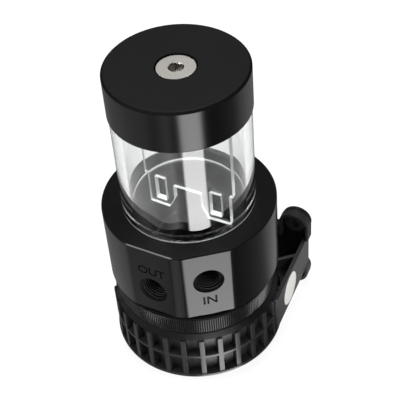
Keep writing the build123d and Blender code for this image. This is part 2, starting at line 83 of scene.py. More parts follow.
# Places that come from the frame
basket_low, basket_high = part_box("pump_basket")
ring_low, ring_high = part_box("lock_ring")
head_low, head_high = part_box("pump_top")
tube_low, tube_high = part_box("reservoir_tube")
baffle_low, baffle_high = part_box("baffle_plate")
cap_low, cap_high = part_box("top_cap")
plug_low, plug_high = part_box("fill_plug")
badge_low, badge_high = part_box("badge_disc")
pads_low, pads_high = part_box("damper_grommets")
mounts = {mount["name"]: mount for mount in frame["record"]["mounts"]}
port_radius = mounts["in_port"]["dims"]["r_mm"] * MM
screw_hole_radius = mounts["wall_holes"]["dims"]["hole_r_mm"] * MM
wall_face = basket_high.y
arm_face = badge_high.x - BADGE_PROUD


def azimuth_of(mount_name):
    """Angle of a port's axis about Z, counted from the front towards +X."""
    axis = mounts[mount_name]["axis"]
    return atan2(axis[0], -axis[1])


def cup_places():
    """Middles of the four wall cups as (x, z)."""
    spread = mounts["wall_holes"]["dims"]
    middle = mounts["wall_holes"]["pos_m"]
    half_width = spread["spacing_x_mm"] * MM / 2
    half_height = spread["spacing_y_mm"] * MM / 2
    return [(x * half_width, middle[2] + z * half_height) for x in (1, -1) for z in (-1, 1)]


def length(name, description, millimetres):
    """A size property, written in millimetres and kept in metres."""
    return FloatProperty(
        name=name, description=description, default=millimetres * MM, unit="LENGTH", precision=5
    )


def angle(name, description, degrees):
    """An angle property, written in degrees and kept in radians."""
    return FloatProperty(
        name=name, description=description, default=radians(degrees), unit="ROTATION", subtype="ANGLE"
    )


def colour(name, description, red, green, blue):
    """A linear colour property."""
    return FloatVectorProperty(
        name=name, description=description, default=(red, green, blue), size=3, subtype="COLOR", min=0, max=1
    )


def level(name, description, value):
    """A plain number property."""
    return FloatProperty(name=name, description=description, default=value)


class ReservoirSizes(bpy.types.PropertyGroup):
    """Sizes of the cap, plug, tube and baffle"""

    cap_chamfer: length("Cap chamfer", "Chamfer round the top of the cap", 1.0)
    cap_skirt_wall: length("Cap wall", "Wall of the cap round the tube's end", 2.2)
    cap_socket_depth: length("Cap socket", "How deep the tube's end stands in the cap", 8.0)
    counterbore_radius: length("Counterbore", "Radius of the plug's seat in the cap", 9.3)
    tube_wall: length("Tube wall", "Thickness of the clear tube", 4.4)
    tube_step: length("Tube step", "How far the tube's ends are turned down", 1.6)
    tube_edge: length("Tube edge", "Radius along the tube's edges", 0.25)
    tube_foot_edge: length("Tube foot edge", "Frosted edge where the tube meets the head", 0.6)
    plug_thread_radius: length("Plug thread", "Outer radius of the plug's thread", 6.48)
    plug_neck_radius: length("Plug neck", "Radius of the relief for the plug's seal", 7.93)
    plug_head_height: length("Plug head", "Thickness of the plug's head", 2.95)
    plug_relief: length("Plug relief", "Depth of the relief for the plug's seal", 1.35)
    plug_sink: length("Plug sink", "How far the plug's face lies under the top of its solid", 0.35)
    hex_across_flats: length("Hex socket", "Width of the hex socket across its flats", 6.0)
    hex_depth: length("Hex depth", "Depth of the hex socket", 4.0)
    baffle_thickness: length("Baffle sheet", "Thickness of the baffle sheet", 3.0)
    baffle_half_width: length("Baffle half width", "Half of the width of the sheet above its step", 23.2)
    baffle_step: length("Baffle step", "How much narrower the sheet's foot is on each side", 1.7)
    baffle_step_height: length("Baffle step height", "Height of the step above the sheet's foot", 17.6)
    baffle_rail: length("Baffle rail", "Width of the sheet outside a window", 4.1)
    window_width: length("Window width", "Width of a baffle window", 5.7)
    window_sill: length("Window sill", "Height of a window above the sheet's foot", 3.6)
    window_height: length("Window height", "Height of a baffle window", 13.4)
    arch_half_width: length("Arch half width", "Half of the width of the sheet's arch", 7.2)
    arch_height: length("Arch height", "Height of the sheet's arch", 14.3)
    arch_spring: length("Arch spring", "Height where the flare of the arch's foot ends", 6.3)
    arch_flare: length("Arch flare", "How far the arch's foot flares on each side", 3.3)
    baffle_edge: length("Baffle edge", "Radius along the cut edges of the sheet", 0.15)


class PumpSizes(bpy.types.PropertyGroup):
    """Sizes of the pump top, ring, basket and bracket"""

    head_foot: length("Head foot", "Height of the underside of the head", 43.5)
    head_chamfer: length("Head chamfer", "Chamfer along the rims of the head", 0.5)
    flat_depth: length("Flat depth", "How far the port flats are cut into the head", 1.55)
    flat_chamfer: length("Flat chamfer", "Chamfer along the top edge of a port flat", 0.7)
    port_mouth: length("Port mouth", "Radius of a port's chamfered mouth", 7.35)
    port_depth: length("Port depth", "Depth of a port's thread", 12.0)
    thread_pitch: length("Thread pitch", "Pitch of the pipe threads", 1.337)
    thread_depth: length("Thread depth", "Depth of the pipe threads", 0.86)
    mark_depth: length("Mark depth", "Depth of the engraved port marks", 0.35)
    knurl_depth: length("Knurl depth", "Depth of the grip lines round the ring", 0.45)
    knurl_count: IntProperty(name="Knurl count", description="Grip lines round the ring", default=228, min=12)
    rib_count: IntProperty(name="Rib count", description="Ribs round the basket", default=29, min=3)
    rib_start: angle("Rib start", "Angle of the first rib from the front", 0.9)
    rib_width: length("Rib width", "Width of a rib", 2.6)
    rib_depth: length("Rib depth", "Depth of the pockets between the ribs", 4.1)
    rib_top: length("Rib top", "Height where the ribs end", 26.5)
    hoop_foot: length("Hoop foot", "Height of the underside of the hoop between the pockets", 14.3)
    hoop_height: length("Hoop height", "Height of the hoop between the pockets", 1.6)
    mould_edge: length("Moulded edge", "Radius along the moulded edges", 0.3)
    arm_thickness: length("Arm thickness", "Thickness of a wall arm", 2.2)
    arm_foot: length("Arm foot", "Height of the lower edge of a wall arm", 4.0)
    arm_height: length("Arm height", "Height of a wall arm", 21.3)
    cup_radius: length("Cup radius", "Outer radius of a wall cup", 8.1)
    cup_wall: length("Cup wall", "Wall of a wall cup", 1.6)
    cup_back: length("Cup back", "Thickness of a cup's back", 2.0)
    cup_depth: length("Cup depth", "Depth of a wall cup", 6.0)


class FinishColours(bpy.types.PropertyGroup):
    """Colours of the finishes"""

    acetal: colour("Acetal", "Machined black acetal", 0.002, 0.002, 0.0021)
    # Painted highlight: the thread crests are black acetal, painted lighter to show glints
    crest: colour("Thread crest", "Burnished crests of the port threads", 0.1, 0.1, 0.1)
    moulded: colour("Moulded plastic", "Moulded black plastic", 0.015, 0.015, 0.0154)
    anodised: colour("Anodised ring", "Black anodised aluminium", 0.004, 0.004, 0.004)
    acrylic: colour("Acrylic", "Clear acrylic", 0.97, 0.985, 0.98)
    frosted: colour("Frosted edge", "Sawn edges of the acrylic", 0.90, 0.91, 0.90)
    nickel: colour("Nickel", "Satin nickel plate", 0.72, 0.695, 0.65)
    # Painted shade: the nickel darkened for the inside of the hex socket
    socket: colour("Socket", "Shaded nickel inside the hex socket", 0.16, 0.15, 0.14)
    badge: colour("Badge", "Bare white badge", 0.80, 0.81, 0.77)
    rubber: colour("Rubber", "Black rubber", 0.006, 0.006, 0.006)
    motor: colour("Motor", "Black motor plastic", 0.016, 0.016, 0.017)
    impeller: colour("Impeller", "Black impeller plastic", 0.02, 0.02, 0.022)
    steel: colour("Cup steel", "Drawn stainless sheet", 0.55, 0.55, 0.54)
    lamination: colour("Lamination", "Stacked electrical sheet", 0.28, 0.29, 0.31)
    copper: colour("Copper", "Enamelled copper wire", 0.62, 0.27, 0.10)
    ferrite: colour("Ferrite", "Ground ferrite", 0.05, 0.05, 0.054)
    ceramic: colour("Ceramic", "Polished white ceramic", 0.80, 0.79, 0.75)
    board: colour("Board", "Green solder mask", 0.03, 0.13, 0.05)
    floor: colour("Floor", "Pale studio floor", 0.80, 0.80, 0.80)


class StageSettings(bpy.types.PropertyGroup):
    """Camera, lamps and floor"""

    camera_place: FloatVectorProperty(
        name="Camera place", description="Where the camera stands", default=(0.16668, -0.32685, 0.42302),
        size=3, subtype="TRANSLATION", unit="LENGTH",
    )
    camera_heading: angle("Heading", "Turn of the camera about the vertical", 26.223)
    camera_tilt: angle("Tilt", "Tilt of the camera up from straight down", 46.939)
    camera_roll: angle("Roll", "Roll of the camera about its line of sight", -5.162)
    camera_lens: level("Lens", "Focal length in millimetres on a 36 mm sensor", 95.21)
    floor_glow: level("Floor glow", "White that the floor shows by itself", 0.88)
    world_level: level("World level", "Brightness of the surrounding room", 0.2)
    lamp_power: level("Lamp power", "Power of each large lamp in watts", 9.0)


def turns(steps):
    """Evenly spaced angles once round."""
    return [2 * pi * step / steps for step in range(steps)]


def eased(outline, steps=EASE_STEPS):
    """The closed outline of (x, y, ease) points with each corner rounded over its ease."""
    points = []
    for index, (x, y, ease) in enumerate(outline):
        corner = Vector((x, y))
        if ease == 0:
            points.append((x, y))
            continue
        before = Vector(outline[index - 1][:2]) - corner
        after = Vector(outline[(index + 1) % len(outline)][:2]) - corner
        start = corner + before.normalized() * min(ease, before.length * 0.49)
        end = corner + after.normalized() * min(ease, after.length * 0.49)
        for step in range(steps + 1):
            share = step / steps
            point = start * (1 - share) ** 2 + corner * 2 * share * (1 - share) + end * share**2
            points.append((point.x, point.y))
    return points


def skin(name, rings, closed=False, capped=False):
    """Mesh through rings of points, joined end to end or capped. A ring of one point is a pole."""
    bm = bmesh.new()
    rows = [[bm.verts.new(point) for point in ring] for ring in rings]
    count = max(len(row) for row in rows)
    pairs = list(zip(rows, rows[1:]))
    if closed:
        pairs.append((rows[-1], rows[0]))
    for lower, upper in pairs:
        for step in range(count):
            corners = [
                lower[step % len(lower)],
                lower[(step + 1) % len(lower)],
                upper[(step + 1) % len(upper)],
                upper[step % len(upper)],
            ]
            corners = list(dict.fromkeys(corners))
            if len(corners) > 2:
                bm.faces.new(corners)
    if capped:
        bm.faces.new(rows[0])
        bm.faces.new(rows[-1])
    bmesh.ops.recalc_face_normals(bm, faces=bm.faces)
    mesh = bpy.data.meshes.new(name)
    bm.to_mesh(mesh)
    bm.free()
    return mesh


def turned(name, outline, steps=ROUND_STEPS, place=Matrix()):
    """Mesh that an outline of (radius, height, ease) sweeps about Z, set in place."""
    points = eased(outline)
    rings = []
    for radius, height in points:
        if radius == 0:
            rings.append([(0, 0, height)])
        else:
            rings.append([(radius * cos(turn), radius * sin(turn), height) for turn in turns(steps)])
    on_axis = points[0][0] == 0 and points[-1][0] == 0
    mesh = skin(name, rings, closed=not on_axis)
    mesh.transform(place)
    return mesh


def cylinder(name, radius, foot, top, steps=SMALL_STEPS, place=Matrix()):
    """Round bar, or a prism when its steps are few, from one height to another, to cut with."""
    return turned(name, [(0, foot, 0), (radius, foot, 0), (radius, top, 0), (0, top, 0)], steps, place)


def as_object(mesh):
    """A linked object for a mesh."""
    item = bpy.data.objects.new(mesh.name, mesh)
    bpy.context.scene.collection.objects.link(item)
    return item


def evaluated(item):
    """The mesh of an object with its modifiers applied. The object is removed."""
    graph = bpy.context.evaluated_depsgraph_get()
    mesh = bpy.data.meshes.new_from_object(item.evaluated_get(graph))
    bpy.data.objects.remove(item)
    return mesh


def combined(mesh, tools, operation):
    """The mesh with each tool mesh cut out of it or joined to it."""
    base = as_object(mesh)
    helpers = [as_object(tool) for tool in tools]
    for helper in helpers:
        modifier = base.modifiers.new("combine", "BOOLEAN")
        modifier.object = helper
        modifier.operation = operation
        modifier.solver = "EXACT"
    result = evaluated(base)
    for helper in helpers:
        bpy.data.objects.remove(helper)
    if len(result.polygons) < len(mesh.polygons) / 2:
        raise RuntimeError(f"{mesh.name} lost faces when it was combined")
    name = mesh.name
    for used in (mesh, *tools):
        bpy.data.meshes.remove(used)
    result.name = name
    return result


def weld(mesh, distance):
    """Join the points of a mesh that lie together and turn its faces outwards."""
    bm = bmesh.new()
    bm.from_mesh(mesh)
    bmesh.ops.remove_doubles(bm, verts=bm.verts, dist=distance)
    bmesh.ops.recalc_face_normals(bm, faces=bm.faces)
    bm.to_mesh(mesh)
    bm.free()


def plate(name, outlines, thickness, edge, place):
    """Flat sheet with rounded edges: the first outline is its rim, and the others are holes."""
    curve = bpy.data.curves.new(name, "CURVE")
    curve.dimensions = "2D"
    curve.fill_mode = "BOTH"
    curve.extrude = thickness / 2 - edge
    curve.bevel_depth = edge
    curve.bevel_resolution = 2
    curve.offset = -edge
    for points in outlines:
        spline = curve.splines.new("POLY")
        spline.points.add(len(points) - 1)
        for corner, (x, y) in zip(spline.points, points):
            corner.co = (x, y, 0, 1)
        spline.use_cyclic_u = True
    mesh = evaluated(as_object(curve))
    weld(mesh, edge / 100)
    mesh.name = name
    mesh.transform(place)
    return mesh


def rectangle(left, bottom, right, top):
    """Corners of a rectangle, counter-clockwise."""
    return [(left, bottom), (right, bottom), (right, top), (left, top)]


def window(left, bottom, right, top):
    """Corners of a rectangular hole, clockwise."""
    return rectangle(left, bottom, right, top)[::-1]


def circle(x, y, radius):
    """Points round a circle, counter-clockwise."""
    return [(x + radius * cos(turn), y + radius * sin(turn)) for turn in turns(ROUND_STEPS // 2)]


def arch(x, y, radius, right_foot, left_foot):
    """Points of a round arch from the height of its right foot to that of its left foot."""
    steps = ROUND_STEPS // 4
    half_turn = [pi * step / steps for step in range(steps + 1)]
    top = [(x + radius * cos(turn), y + radius * sin(turn)) for turn in half_turn]
    return [(x + radius, right_foot), *top, (x - radius, left_foot)]


def facing(azimuth, distance, height):
    """Place whose Z points outwards at an azimuth, with Y upwards."""
    outward = Vector((sin(azimuth), -cos(azimuth), 0))
    across = Vector((cos(azimuth), sin(azimuth), 0))
    place = Matrix((across, Vector((0, 0, 1)), outward)).transposed().to_4x4()
    place.translation = outward * distance + Vector((0, 0, height))
    return place


def facing_wall(x, y, z):
    """Place whose Z points towards the wall."""
    return Matrix.Translation((x, y, z)) @ Matrix.Rotation(-pi / 2, 4, "X")


def facing_front(y):
    """Place with its X to the right, Y upwards and Z towards the front, at a distance along Y."""
    return Matrix.Translation((0, y, 0)) @ Matrix.Rotation(pi / 2, 4, "X")


def facing_side(x):
    """Place with its X towards the wall, Y upwards and Z to the right, at a distance along X."""
    return Matrix.Translation((x, 0, 0)) @ Matrix(((0, 0, 1, 0), (1, 0, 0, 0), (0, 1, 0, 0), (0, 0, 0, 1)))


def badge_place():
    """Place whose Z points to the right, at the middle of the badge's inner face."""
    middle = (badge_low.x, (badge_low.y + badge_high.y) / 2, (badge_low.z + badge_high.z) / 2)
    return Matrix.Translation(middle) @ Matrix.Rotation(pi / 2, 4, "Y")


def port_place(port, distance):
    """Place on a port's axis with its Z outwards, at a distance from the pump axis."""
    return facing(azimuth_of(port), distance, mounts[port]["pos_m"][2])


def add_piece(mesh, body, slot, materials, *nodes):
    """A finished piece that rides on a body and stands for CAD nodes."""
    piece = as_object(mesh)
    for material in materials:
        mesh.materials.append(material)
    mesh.shade_smooth()
    mesh.set_sharp_from_angle(angle=SHARP_ANGLE)
    even = piece.modifiers.new("even_normals", "WEIGHTED_NORMAL")
    even.keep_sharp = True
    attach(piece, body)
    if nodes:
        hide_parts(*nodes)
    return piece


# Shader node groups


def new_group(name, inputs, outputs):
    """An empty shader node group with named sockets, the values given to it, and its output node."""
    group = bpy.data.node_groups.new(name, "ShaderNodeTree")
    for socket, kind, default in inputs:
        made = group.interface.new_socket(socket, in_out="INPUT", socket_type=kind)
        made.default_value = default
    for socket, kind in outputs:
        group.interface.new_socket(socket, in_out="OUTPUT", socket_type=kind)
    given = group.nodes.new("NodeGroupInput").outputs
    return group, given, group.nodes.new("NodeGroupOutput")


def join(tree, value, socket):
    """Link an output to a socket, or set the socket to a value."""
    if isinstance(value, bpy.types.NodeSocket):
        tree.links.new(value, socket)
    else:
        socket.default_value = value


def feed(tree, node, **values):
    """Give a node's inputs outputs or values by name, with underscores for spaces."""
    for key, value in values.items():
        join(tree, value, node.inputs[key.replace("_", " ")])
    return node


def add_node(tree, kind, **values):
    """A new shader node with outputs or values for its inputs."""
    return feed(tree, tree.nodes.new(f"ShaderNode{kind}"), **values)


def math_node(tree, operation, first, second):
    """A math node fed by outputs or numbers, given as its output."""
    node = add_node(tree, "Math")
    node.operation = operation
    join(tree, first, node.inputs[0])
    join(tree, second, node.inputs[1])
    return node.outputs[0]


def object_place(tree):
    """X, Y and Z on the object as outputs."""
    place = add_node(tree, "TexCoord").outputs["Object"]
    return add_node(tree, "SeparateXYZ", Vector=place).outputs


def surface_grain():
    """Fine grain: colour and roughness that wander, and a shallow bumpy normal."""
    name = "surface_grain"
    if name in bpy.data.node_groups:
        return bpy.data.node_groups[name]
    group, given, leave = new_group(
        name,
        [
            ("Colour", "NodeSocketColor", (0.5, 0.5, 0.5, 1)),
            ("Colour Shift", "NodeSocketFloat", 0.2),
            ("Roughness", "NodeSocketFloat", 0.4),
            ("Roughness Shift", "NodeSocketFloat", 0.1),
            ("Scale", "NodeSocketFloat", 1000.0),
            ("Depth", "NodeSocketFloat", 0.00001),
        ],
        [("Colour", "NodeSocketColor"), ("Roughness", "NodeSocketFloat"), ("Normal", "NodeSocketVector")],
    )
    place = add_node(group, "TexCoord").outputs["Object"]
    fine = add_node(group, "TexNoise", Vector=place, Scale=given["Scale"], Detail=3).outputs["Fac"]
    broad = add_node(group, "TexNoise", Vector=place, Scale=60, Detail=4).outputs["Fac"]
    swing = math_node(group, "SUBTRACT", math_node(group, "ADD", fine, broad), 1.0)
    shade = math_node(group, "MULTIPLY", swing, given["Colour Shift"])
    tint = add_node(group, "VectorMath")
    tint.operation = "SCALE"
    feed(group, tint, Vector=given["Colour"], Scale=math_node(group, "ADD", shade, 1.0))
    wander = math_node(group, "MULTIPLY", swing, given["Roughness Shift"])
    rough = math_node(group, "ADD", wander, given["Roughness"])
    bump = add_node(group, "Bump", Distance=given["Depth"], Height=fine)
    feed(group, leave, Colour=tint.outputs[0], Roughness=rough, Normal=bump.outputs["Normal"])
    return group


def tool_lines():
    """Fine lathe lines round the pump axis: a height to bump with."""
    name = "tool_lines"
    if name in bpy.data.node_groups:
        return bpy.data.node_groups[name]
    group, given, leave = new_group(
        name, [("Pitch", "NodeSocketFloat", 0.0002)], [("Height", "NodeSocketFloat")]
    )
    place = object_place(group)
    across = math_node(group, "MULTIPLY", place["X"], place["X"])
    along = math_node(group, "MULTIPLY", place["Y"], place["Y"])
    radius = math_node(group, "SQRT", math_node(group, "ADD", across, along), 0.0)
    reach = math_node(group, "ADD", radius, place["Z"])
    uneven = add_node(group, "TexNoise", Scale=1, Detail=2)
    uneven.noise_dimensions = "1D"
    feed(group, uneven, W=math_node(group, "DIVIDE", reach, given["Pitch"]))
    feed(group, leave, Height=uneven.outputs["Fac"])
    return group


def edge_polish():
    """Mask that is light where an edge has been rubbed bright."""
    name = "edge_polish"
    if name in bpy.data.node_groups:
        return bpy.data.node_groups[name]
    group, given, leave = new_group(
        name, [("Width", "NodeSocketFloat", 0.0003)], [("Mask", "NodeSocketFloat")]
    )
    bevel = add_node(group, "Bevel", Radius=given["Width"])
    bevel.samples = 4
    likeness = add_node(group, "VectorMath")
    likeness.operation = "DOT_PRODUCT"
    join(group, bevel.outputs["Normal"], likeness.inputs[0])
    join(group, add_node(group, "NewGeometry").outputs["Normal"], likeness.inputs[1])
    turned_away = math_node(group, "SUBTRACT", 1.0, likeness.outputs["Value"])
    spread = math_node(group, "MULTIPLY", turned_away, 4.0)
    feed(group, leave, Mask=math_node(group, "MINIMUM", spread, 1.0))
    return group


def new_material(name):
    """A material with its node tree and its principled shader."""
    material = bpy.data.materials.new(name)
    material.use_nodes = True
    tree = material.node_tree
    return material, tree, tree.nodes["Principled BSDF"]


def place_group(tree, group, **values):
    """Outputs of a node group that is set in a material, with values for its inputs."""
    node = add_node(tree, "Group")
    node.node_tree = group
    return feed(tree, node, **values).outputs


def grained(
    name, tint, roughness, shift, scale, depth,
    metallic=0.0, colour_shift=0.25, lines=0.0, polish=0.0, gloss=0.5,
):
    """A finish with fine grain, and with lathe lines and polished edges where they are given."""
    if name in bpy.data.materials:
        return bpy.data.materials[name]
    material, tree, shader = new_material(name)
    grain = place_group(
        tree, surface_grain(), Colour=(*tint, 1), Colour_Shift=colour_shift,
        Roughness=roughness, Roughness_Shift=shift, Scale=scale, Depth=depth,
    )
    normal = grain["Normal"]
    if lines:
        cut = place_group(tree, tool_lines(), Pitch=0.22 * MM)
        bump = add_node(tree, "Bump", Distance=lines, Height=cut["Height"], Normal=normal)
        normal = bump.outputs["Normal"]
    shade = grain["Colour"]
    if polish:
        rubbed = place_group(tree, edge_polish(), Width=0.25 * MM)
        mix = add_node(tree, "Mix")
        mix.data_type = "RGBA"
        feed(tree, mix, Factor=rubbed["Mask"], A=shade, B=(polish, polish, polish, 1))
        shade = mix.outputs["Result"]
    feed(tree, shader, Base_Color=shade, Roughness=grain["Roughness"], Normal=normal)
    feed(tree, shader, Metallic=metallic, Specular_IOR_Level=gloss)
    return material


def colours():
    """The finish colours of the scene."""
    return bpy.context.scene.pump_colours


def acetal_finish(name="machined_acetal", gloss=0.3):
    """Turned black acetal with lathe lines and edges rubbed bright."""
    return grained(
        name, colours().acetal, roughness=0.2, shift=0.04, scale=2600, depth=0.002 * MM,
        lines=0.0012 * MM, polish=0.012, gloss=gloss,
    )


def thread_glint_finish():
    """Crest of a thread painted lighter than the black acetal: a painted highlight."""
    return grained(
        "cut_thread", colours().crest, roughness=0.3, shift=0.06, scale=2600, depth=0.002 * MM, gloss=0.7
    )


def engraved_and_shade_finish():
    """Matt black where a cutter has been, and painted shade where it is laid on the grip ring and the
    bracket's plate, which are lighter themselves.
    """
    return grained(
        "engraved_acetal", colours().acetal, roughness=0.7, shift=0.1, scale=2200, depth=0.01 * MM, gloss=0.1
    )


def faced_and_shade_finish(name="faced_acetal", gloss=0.27):
    """Satin black of a faced end; laid on the basket's rim it is painted shade, darker than the moulded
    plastic.
    """
    return grained(
        name, colours().acetal, roughness=0.5, shift=0.06, scale=2400, depth=0.004 * MM, gloss=gloss
    )


def moulded_finish():
    """Moulded black plastic with a fine texture."""
    return grained(
        "moulded_plastic", colours().moulded, roughness=0.48, shift=0.08, scale=1800, depth=0.004 * MM,
        polish=0.03, gloss=0.3,
    )


def smooth_finish():
    """Moulded black plastic off a smoother tool."""
    return grained(
        "smooth_moulded", colours().moulded, roughness=0.4, shift=0.06, scale=1800, depth=0.003 * MM,
        polish=0.03, gloss=0.75,
    )


def anodised_finish():
    """Black anodised aluminium."""
    return grained(
        "black_anodised", colours().anodised, roughness=0.28, shift=0.06, scale=2200, depth=0.002 * MM,
        polish=0.02, gloss=0.26,
    )


def nickel_finish():
    """Satin nickel plate with lathe lines."""
    return grained(
        "satin_nickel", colours().nickel, roughness=0.5, shift=0.05, scale=3000, depth=0.0012 * MM,
        metallic=1.0, colour_shift=0.06, lines=0.002 * MM,
    )


def socket_shade_finish():
    """Nickel painted darker inside the hex socket: painted shade in the recess."""
    return grained(
        "socket_nickel", colours().socket, roughness=0.3, shift=0.08, scale=2600, depth=0.002 * MM,
        metallic=1.0, colour_shift=0.1,
    )


def badge_finish():
    """Bare white badge."""
    return grained(
        "bare_badge", colours().badge, roughness=0.42, shift=0.06, scale=1500, depth=0.002 * MM,
        colour_shift=0.05,
    )


def rubber_finish():
    """Dull black rubber."""
    return grained(
        "black_rubber", colours().rubber, roughness=0.62, shift=0.1, scale=1400, depth=0.008 * MM, gloss=0.3
    )


def clear_finish(name, tint, through, coat=0.0, **grain_values):
    """Acrylic that lets a share of the light through."""
    if name in bpy.data.materials:
        return bpy.data.materials[name]
    material, tree, shader = new_material(name)
    grain = place_group(tree, surface_grain(), Colour=(*tint, 1), **grain_values)
    feed(tree, shader, Base_Color=grain["Colour"], Roughness=grain["Roughness"], Normal=grain["Normal"])
    feed(tree, shader, IOR=ACRYLIC_IOR, Transmission_Weight=through, Coat_Weight=coat)
    return material


def acrylic_finish():
    """Polished clear acrylic."""
    return clear_finish(
        "polished_acrylic", colours().acrylic, through=1.0, coat=0.55,
        Colour_Shift=0.01, Roughness=0.012, Roughness_Shift=0.01, Scale=400.0, Depth=0.0002 * MM,
    )


def frosted_finish(name="sawn_acrylic", through=0.4):
    """Sawn and scattering edge of acrylic."""
    return clear_finish(
        name, colours().frosted, through,
        Colour_Shift=0.15, Roughness=0.45, Roughness_Shift=0.2, Scale=1600.0, Depth=0.02 * MM,
    )


class PUMP_OT_screw_cap(bpy.types.Operator):
    """Turn the screw cap"""

    bl_idname = "pump.screw_cap"
    bl_label = "Screw cap"

    def execute(self, context):
        sizes = context.scene.reservoir_sizes
        edge = 0.25 * MM
        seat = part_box("fill_plug_o_ring")[0].z
        socket_top = cap_low.z + sizes.cap_socket_depth
        socket_radius = cap_high.x - sizes.cap_skirt_wall
        outline = [
            (port_radius, socket_top, edge),
            (socket_radius, socket_top, edge),
            (socket_radius, cap_low.z, edge),
            (cap_high.x, cap_low.z, edge),
            (cap_high.x, cap_high.z - sizes.cap_chamfer, edge),
            (cap_high.x - sizes.cap_chamfer, cap_high.z, edge),
            (sizes.counterbore_radius, cap_high.z, edge),
            (sizes.counterbore_radius, seat, edge),
            (port_radius, seat, edge),
        ]
        shell = turned("cap_shell", outline)
        finishes = [acetal_finish(), engraved_and_shade_finish(), faced_and_shade_finish()]
        add_piece(shell, "screw_cap", "acetal_black", finishes, "top_cap")
        for face in shell.polygons:
            radius = face.center.xy.length
            on_chamfer = face.center.z > cap_high.z - sizes.cap_chamfer and 0.2 < face.normal.z < 0.95
            in_seat = radius < sizes.counterbore_radius + edge and face.center.z > socket_top
            if on_chamfer or in_seat:
                face.material_index = 1
            elif face.normal.z > 0.9 and face.center.z > cap_high.z - edge:
                face.material_index = 2
        return {"FINISHED"}


class PUMP_OT_fill_plug(bpy.types.Operator):
    """Turn the fill plug and cut its hex socket and thread"""

    bl_idname = "pump.fill_plug"
    bl_label = "Fill plug"

    def execute(self, context):
        sizes = context.scene.reservoir_sizes
        pump = context.scene.pump_sizes
        edge = 0.3 * MM
        rim_edge = 0.1 * MM
        top = plug_high.z - sizes.plug_sink
        under_head = plug_high.z - sizes.plug_head_height
        relief_top = under_head + sizes.plug_relief
        root = sizes.plug_thread_radius - pump.thread_depth
        outline = [
            (0, plug_low.z, 0),
            (root, plug_low.z, edge),
            (root, relief_top, edge / 2),
            (sizes.plug_neck_radius, relief_top, edge / 2),
            (sizes.plug_neck_radius, under_head, edge / 2),
            (plug_high.x, under_head, edge),
            (plug_high.x, top, rim_edge),
            (0, top, 0),
        ]
        half = sizes.hex_across_flats / 2
        corner = half / cos(pi / 6)
        cutter = cylinder("hex_cutter", corner, top - sizes.hex_depth, top + edge, steps=6)
        mouth = corner + 0.1 * MM
        cone = [(0, top - mouth, 0), (mouth + edge, top + edge, 0), (0, top + edge, 0)]
        countersink = turned("countersink", cone, SMALL_STEPS)
        head = combined(turned("plug_body", outline, SMALL_STEPS), [cutter, countersink], "DIFFERENCE")
        add_piece(head, "plug", "plug_nickel", [nickel_finish(), socket_shade_finish()], "fill_plug")
        # Faces inside the hex socket take the darker nickel: painted shade
        for face in head.polygons:
            sunk = under_head - edge < face.center.z < top - edge / 2
            face.material_index = 1 if sunk and face.center.xy.length < corner else 0
        thread = helix(
            "plug_thread",
            root,
            sizes.plug_thread_radius,
            pump.thread_pitch,
            under_head - plug_low.z - pump.thread_pitch,
            Matrix.Translation((0, 0, plug_low.z + pump.thread_pitch / 2)),
        )
        add_piece(thread, "plug", "plug_nickel", [nickel_finish()])
        return {"FINISHED"}


def helix(name, root, crest, pitch, height, place):
    """A thread ridge that climbs from its root radius to its crest radius, tapered out at both ends.

    Every fourth face, from the second on, lies on the crest.
    """
    per_turn = 72
    fade = per_turn / 4
    foot_half = 0.44 * pitch
    crest_half = 0.1 * pitch
    sunk = 0.06 * MM
    foot = root + sunk if crest < root else root - sunk
    count = int(per_turn * height / pitch)
    rings = []
    for step in range(count + 1):
        turn = 2 * pi * step / per_turn
        rise = pitch * step / per_turn
        share = min(1, step / fade, (count - step) / fade)
        tip = root + (crest - root) * share
        section = [(foot, -foot_half), (tip, -crest_half), (tip, crest_half), (foot, foot_half)]
        rings.append([(radius * cos(turn), radius * sin(turn), rise + offset) for radius, offset in section])
    mesh = skin(name, rings, capped=True)
    mesh.transform(place)
    return mesh


class PUMP_OT_clear_tube(bpy.types.Operator):
    """Turn the clear tube"""

    bl_idname = "pump.clear_tube"
    bl_label = "Clear tube"

    def execute(self, context):
        sizes = context.scene.reservoir_sizes
        edge = sizes.tube_edge
        inner = tube_high.x - sizes.tube_wall
        end = tube_high.x - sizes.tube_step
        outline = [
            (inner, tube_low.z, edge),
            (end, tube_low.z, edge),
            (end, head_high.z, 0),
            (tube_high.x, head_high.z, sizes.tube_foot_edge),
            (tube_high.x, cap_low.z, edge),
            (end, cap_low.z, 0),
            (end, tube_high.z, edge),
            (inner, tube_high.z, edge),
        ]
        tube = turned("tube_wall", outline, steps=256)
        finishes = [acrylic_finish(), frosted_finish()]
        piece = add_piece(tube, "reservoir", "clear_acrylic", finishes, "reservoir_tube")
        piece.visible_shadow = False
        for face in tube.polygons:
            rise = face.center.z - head_high.z
            at_foot = -edge < rise < sizes.tube_foot_edge and face.normal.z < -0.1
            face.material_index = 1 if at_foot and face.center.xy.length > end else 0
        return {"FINISHED"}


